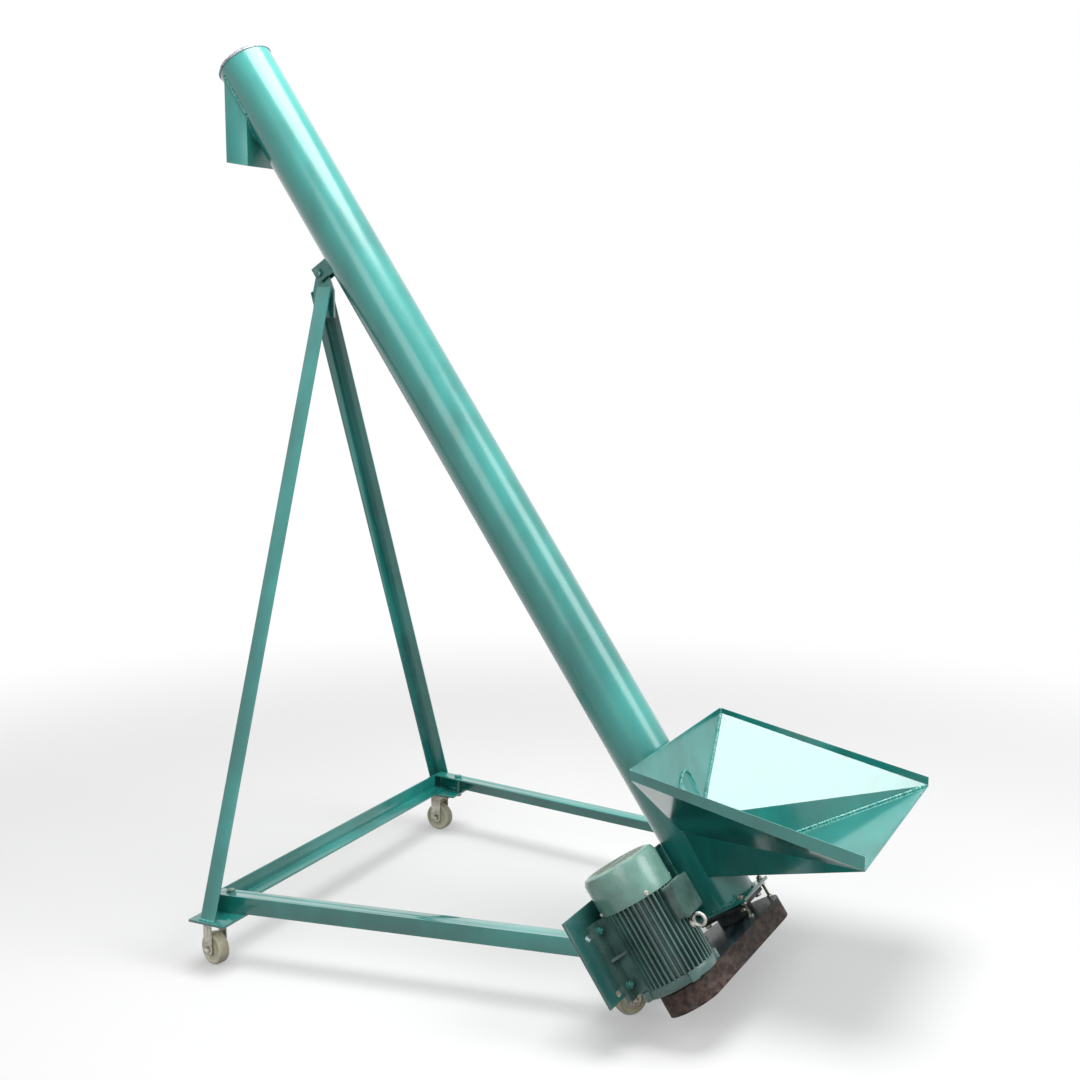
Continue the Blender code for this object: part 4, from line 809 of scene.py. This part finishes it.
run = bmesh.new()
for sx, sy in CORNERS:
    base = on_tube @ Matrix.Translation((sx * STUD_PITCH, sy * STUD_PITCH, 0))
    washer(run, lift(base, FLANGE_TOP), 0.0082, STUD_WASHER)
    hexagon(run, lift(base, FLANGE_TOP + STUD_WASHER), NUT_FLATS, 0.0062)
    stud(run, lift(base, GUARD_NUT), STUD_R, FLANGE_LOW - GUARD_BACK + STUD_PAST)
    hexagon(run, lift(base, FLANGE_LOW - 0.0062), NUT_FLATS, NUT_HIGH)
    hexagon(run, lift(base, GUARD_NUT), NUT_FLATS, NUT_HIGH)
stud_zinc = plating("stud_zinc", ZINC_LIGHT, ZINC_DARK, rust=0.7, rough=0.3)
show("guard_studs", run, stud_zinc, split=25)

HOUSING_LOW = -0.0226
HOUSING_BOLT = 0.0505
BOLT_FLATS = 0.0150
run = bmesh.new()
for sx, sy in CORNERS:
    base = on_tube @ Matrix.Translation((sx * HOUSING_BOLT, sy * HOUSING_BOLT, HOUSING_LOW)) @ OVER
    washer(run, base, 0.0098, 0.0016)
    hexagon(run, lift(base, 0.0016), BOLT_FLATS, 0.0065)
show("housing_bolts", run, stud_zinc, split=25)


# ---------------------------------------------------------------- motor plate
# A 6 mm plate welded to the tube and the flange, slotted so that the motor can be slid to
# tighten the belts. Both faces were sprayed with the frame's enamel, darkened here as painted
# shade.
# Painted shade: both teals are darker than the frame's, for the shadow the plate stands in.
slab_painted_shade_enamel = enamel("slab_painted_shade_enamel", dust=0.2, chips=0.5, tone=-0.10, gloss=0.30,
                     deep=rgb(28, 88, 84), body=rgb(40, 108, 104))
coat(slab_painted_shade_enamel, "motor_plate", edge=0.0008)
PLATE_FACES = (-0.060, -0.066)
PLATE_SPAN = (0.006, 0.184)
run = bmesh.new()
for n, seed in zip((PLATE_FACES[0] + SKIN, PLATE_FACES[1] - SKIN), (59, 66)):
    skin_y = -math.sqrt(TUBE_R ** 2 - n ** 2) - 0.0008
    bead(run, [on_tube @ Vector((n, skin_y, at)) for at in PLATE_SPAN], 0.0032, seed)
show("motor_plate_weld", run, weld_enamel)


# ---------------------------------------------------------------- motor
# A foot-mounted cast motor: finned frame, two end shields, a pressed fan cover with a slotted
# end, a small terminal box and a lifting eye. Grey-green enamel, with painted shade between the
# fins.
MOTOR_PALE = rgb(128, 176, 162)
MOTOR_BODY = rgb(92, 130, 124)
MOTOR_DEEP = rgb(66, 98, 94)
PAINTED_RECESS_SHADE = rgb(50, 66, 64)
motor_foot = axis_of("motor_spin")[0]
on_motor = frame_of(motor_foot, upper, across, along)


def from_motor_axis(spot):
    """Distance from the motor's centre line."""
    out = spot.node("ShaderNodeVectorMath", {"operation": "SUBTRACT"}, {0: spot, 1: motor_foot})
    side = spot.node("ShaderNodeVectorMath", {"operation": "CROSS_PRODUCT"}, {0: out, 1: along})
    return spot.node("ShaderNodeVectorMath", {"operation": "LENGTH"}, {0: side}, "Value")


FIN_ROOT = 0.0735
FIN_SHADE = 0.0800


def motor_enamel(name, pale, deep, valley=0.0, gloss=0.34, dust=0.5, slots=0.0):
    """Factory enamel on a casting or pressing, with dust streaks, painted shade in its lows and a
    few scuffs.

    `valley` is how far painted shade darkens the fins' roots. `slots` is the radius of an end that
    is
    slotted: the slots' walls carry painted shade and the bars between them are dusty.
    """
    made, wire, end, spot = begin(name)
    patch = cloud(spot, 0.05, 3.0)
    colour = blend(patch.between(0.34, 0.68), deep, pale)
    streak = cloud(spot, 0.012, 4.0, 0.65)
    colour = blend(streak.between(0.60, 0.75) * dust * 0.6, colour, YARD_DUST)
    settled = facing(spot, (0, 0, 1)).between(0.45, 0.95) * cloud(spot, 0.02, 4.0) * dust
    colour = blend(settled * 0.5, colour, YARD_DUST)
    rough = gloss + patch * 0.12 + settled * 0.3
    if valley:
        # Painted shade, darkest at the fins' roots where the recesses are deepest.
        depth_mask = from_motor_axis(spot).between(FIN_SHADE, FIN_ROOT) * valley
        colour = blend(depth_mask, colour, PAINTED_RECESS_SHADE)
        rough = rough + depth_mask * 0.3
    if slots:
        # Painted shade on the slots' walls; dust on the bars between them.
        edgewise = facing(spot, tuple(along)).between(0.90, 0.60)
        inside = from_motor_axis(spot).between(slots, slots - 0.002)
        colour = blend(edgewise * inside, colour, PAINTED_RECESS_SHADE)
        face_on = facing(spot, tuple(along)).between(0.90, 0.98) * inside
        colour = blend(face_on * 0.35, colour, YARD_DUST)
        rough = rough + face_on * 0.3
    scuff = cloud(spot, 0.009, 5.0, 0.72).between(0.70, 0.73) * 0.6
    colour = blend(scuff, colour, WASHED)
    return seal(made, wire, end, colour, rough, 0.0, cloud(spot, 0.004, 2.0) + streak * 0.4,
                coat=0.35, coat_rough=0.12, depth=0.0010, strength=0.35)


body_enamel = motor_enamel("motor_body_enamel", MOTOR_BODY, MOTOR_DEEP, valley=0.4)
shield_enamel = motor_enamel("motor_shield_enamel", MOTOR_BODY, MOTOR_DEEP)
cover_enamel = motor_enamel("fan_cover_enamel", MOTOR_PALE, rgb(112, 156, 144), gloss=0.20,
                            dust=0.15, slots=0.070)
box_enamel = motor_enamel("terminal_box_enamel", rgb(78, 112, 104), rgb(50, 78, 74), gloss=0.3)
coat(body_enamel, "motor_frame")
coat(shield_enamel, "front_shield", "rear_shield", edge=0.0008)
coat(cover_enamel, "fan_cover")
coat(box_enamel, "terminal_box", edge=0.0060, segments=4)
fan_black, wire, end, spot = begin("fan_black")
lint = cloud(spot, 0.005, 4.0)
seal(fan_black, wire, end, blend(lint.between(0.5, 0.72) * 0.5, rgb(40, 42, 42), YARD_DUST),
     0.6 + lint * 0.2, 0.0, lint)
coat(fan_black, "cooling_fan")
coat(screw_steel, "rotor_shaft")

FOOT_TOP = -0.0795
FOOT_LOW = -0.0962
FOOT_SPOTS = (0.008, 0.133)
FOOT_Y = 0.070
to_n = Matrix(((0, 0, 1, 0), (1, 0, 0, 0), (0, 1, 0, 0), (0, 0, 0, 1)))   # z on the foot's normal
run = bmesh.new()
for at in FOOT_SPOTS:
    for sign in (-1, 1):
        base = on_motor @ Matrix.Translation((FOOT_TOP, sign * FOOT_Y, at)) @ to_n
        washer(run, base, 0.0098, 0.0018)
        hexagon(run, lift(base, 0.0018), BOLT_FLATS, 0.0064)
        stud(run, lift(base, 0.0080), 0.0044, 0.0045)
        under = on_motor @ Matrix.Translation((FOOT_LOW, sign * FOOT_Y, at)) @ to_n @ OVER
        washer(run, under, 0.0115, 0.0022)
        hexagon(run, lift(under, 0.0022), BOLT_FLATS, 0.0070)
foot_bolt = enamel("foot_bolt_enamel", dust=0.8, chips=2.5, tone=-0.14, gloss=0.35)
show("motor_foot_bolts", run, foot_bolt, split=25)

RIB_AT = (0.066, 0.072)
RIB = ((-0.0795, 0.0565), (-0.0795, 0.0870), (-0.0765, 0.0870), (-0.0560, 0.0600),
       (-0.0480, 0.0565))
run = bmesh.new()
for sign in (-1, 1):
    solid(run, [[run.verts.new(on_motor @ Vector((n, sign * y, z))) for n, y in RIB]
                for z in RIB_AT])
show("motor_foot_ribs", run, body_enamel)

COVER_R = 0.0841
COVER_FOOT = 0.158
run = bmesh.new()
for quarter in range(4):
    turn = math.pi / 4 + quarter * math.pi / 2
    out = Vector((math.cos(turn), math.sin(turn), 0))
    around = Vector((-math.sin(turn), math.cos(turn), 0))
    base = on_motor @ frame_of(out * COVER_R + Vector((0, 0, COVER_FOOT)), around,
                               Vector((0, 0, 1)), out)
    washer(run, base, 0.0052, 0.0010)
    hexagon(run, lift(base, 0.0010), 0.0068, 0.0026)
show("fan_cover_screws", run, stud_zinc, split=25)

LID_THICK = 0.0022
LID_SUNK = 0.0010
CORNER_CUT = 0.006
SCREW_IN = 0.008
on_box = [on_motor.inverted() @ v.co for v in nodes["terminal_box"].data.vertices]
lid_low = max(v.x for v in on_box) - LID_SUNK
lid_top = lid_low + LID_THICK
BOX_HALF = max(v.y for v in on_box) + 0.0010
BOX_SPAN = (min(v.z for v in on_box) - 0.0006, max(v.z for v in on_box) + 0.0006)
lid_flat = []
for cy, cz in ((1, 1), (-1, 1), (-1, -1), (1, -1)):
    y = cy * (BOX_HALF - CORNER_CUT)
    z = (BOX_SPAN[1] - CORNER_CUT) if cz > 0 else (BOX_SPAN[0] + CORNER_CUT)
    start = math.atan2(cz, cy) - math.pi / 4
    lid_flat += [(y + CORNER_CUT * math.cos(start + math.pi / 8 * k),
                  z + CORNER_CUT * math.sin(start + math.pi / 8 * k)) for k in range(5)]
run = bmesh.new()
solid(run, [[run.verts.new(on_motor @ Vector((n, y, z))) for y, z in lid_flat]
            for n in (lid_low, lid_top)])
for sign in (-1, 1):
    for z in (BOX_SPAN[0] + SCREW_IN, BOX_SPAN[1] - SCREW_IN):
        spot_on_lid = Matrix.Translation((lid_top, sign * (BOX_HALF - SCREW_IN), z))
        washer(run, on_motor @ spot_on_lid @ to_n, 0.0036, 0.0012)
show("terminal_box_lid", run, box_enamel)

EYE_N = 0.1025
EYE_AT = 0.055
EYE_R = 0.013
EYE_BAR = 0.0040
EYE_STEPS = 48
eye_steel = plating("eye_steel", rgb(214, 212, 206), rgb(150, 148, 142), rust=0.35, rough=0.3,
                    metal=0.7)
NECK = ((0.0100, 0.0838), (0.0100, 0.0862), (0.0074, 0.0872), (0.0058, 0.0895), (0.0052, 0.0920))
run = bmesh.new()
rings = []
for i in range(EYE_STEPS):
    turn = 2 * math.pi * i / EYE_STEPS
    out = Vector((math.cos(turn), 0, math.sin(turn)))
    rings.append(ring(run, Vector((EYE_N, 0, EYE_AT)) + EYE_R * out, out, across, EYE_BAR, 14))
for first, second in zip(rings, rings[1:] + rings[:1]):
    bridge(run, first, second)
solid(run, turned(run, Matrix.Translation((0, 0, EYE_AT)) @ to_n, NECK, 20))
run.transform(on_motor)
eye_piece = show("lifting_eye", run, eye_steel)
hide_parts("eye_bolt")


# ---------------------------------------------------------------- pulleys and belts
# Two cast V-pulleys of two grooves each: a small one on the motor and a big one on the screw,
# with a pair of black rubber V-belts. They run hidden between the guard and its cover.
coat(iron, "auger_pulley", "motor_pulley")
belt_rubber, wire, end, spot = begin("belt_rubber")
cord_lines = cloud(spot, 0.003, 2.0, stretch=(0.2, 0.2, 1))
seal(belt_rubber, wire, end, blend(cord_lines.between(0.5, 0.7) * 0.4, rgb(24, 24, 24),
                                   rgb(74, 68, 62)), 0.75, 0.0, cord_lines)
coat(belt_rubber, "belt_1", "belt_2")


# ---------------------------------------------------------------- belt guard and its cover
# A shallow pan of black-enamelled sheet round both pulleys, closed below by a flat cover. The
# upper face is satin with painted highlight streaks; the sides and low lobe carry a painted brown
# ground reflection.
GUARD_INK = rgb(30, 38, 44)
# The colour after the ink is the painted highlight of the streaks.
GUARD_STREAK_HIGHLIGHT = rgb(112, 130, 138)
# These two browns are a painted reflection of the brown ground.
GUARD_GROUND_REFLECTION = rgb(112, 92, 84)
GUARD_GROUND_REFLECTION_DARK = rgb(66, 52, 48)
STREAK_TURN = -24            # the painted highlight streaks run a little across the guard's length
LOBE_Y = (-0.24, -0.40)      # the painted ground reflection thickens from here to here, towards the motor's lobe
guard_paint, wire, end, spot = begin("guard_enamel")
run_off = spot.node("ShaderNodeVectorRotate", {"rotation_type": "AXIS_ANGLE"},
                    {"Vector": spot, "Axis": tuple(along), "Angle": math.radians(STREAK_TURN)})
# Painted highlight: pale blue-grey streaks over the black of the upper face.
streak = cloud(run_off, 0.030, 4.0, 0.6, stretch=(1.0, 0.12, 1.0))
colour = blend(streak.between(0.44, 0.64) * 0.8, GUARD_INK, GUARD_STREAK_HIGHLIGHT)
top_face = facing(spot, tuple(along)).between(0.35, 0.75)
toward_motor = height_of(spot, "Y").between(*LOBE_Y)
# Painted reflection of the brown ground: on every face but the top, stronger towards the motor's
# lobe, in patches.
ground_reflection_mask = wire.sum("ADD", 1 - top_face, toward_motor * 0.6, clamp=True)
ground_reflection_mask = ground_reflection_mask * (0.62 + cloud(spot, 0.03, 4.0) * 0.5)
# The painted ground reflection's colour, in darker and lighter streaks.
soil = blend(cloud(run_off, 0.012, 4.0, 0.6, stretch=(1.0, 0.3, 1.0)).between(0.38, 0.65),
             GUARD_GROUND_REFLECTION_DARK, GUARD_GROUND_REFLECTION)
colour = blend(wire.sum("MINIMUM", ground_reflection_mask, 1.0), colour, soil)
seal(guard_paint, wire, end, colour, 0.34 + ground_reflection_mask * 0.3, 0.0,
     streak * 0.6 + cloud(spot, 0.004, 2.0) * 0.4, depth=0.0012, strength=0.4, shine=0.16)
coat(guard_paint, "belt_guard", "guard_cover")
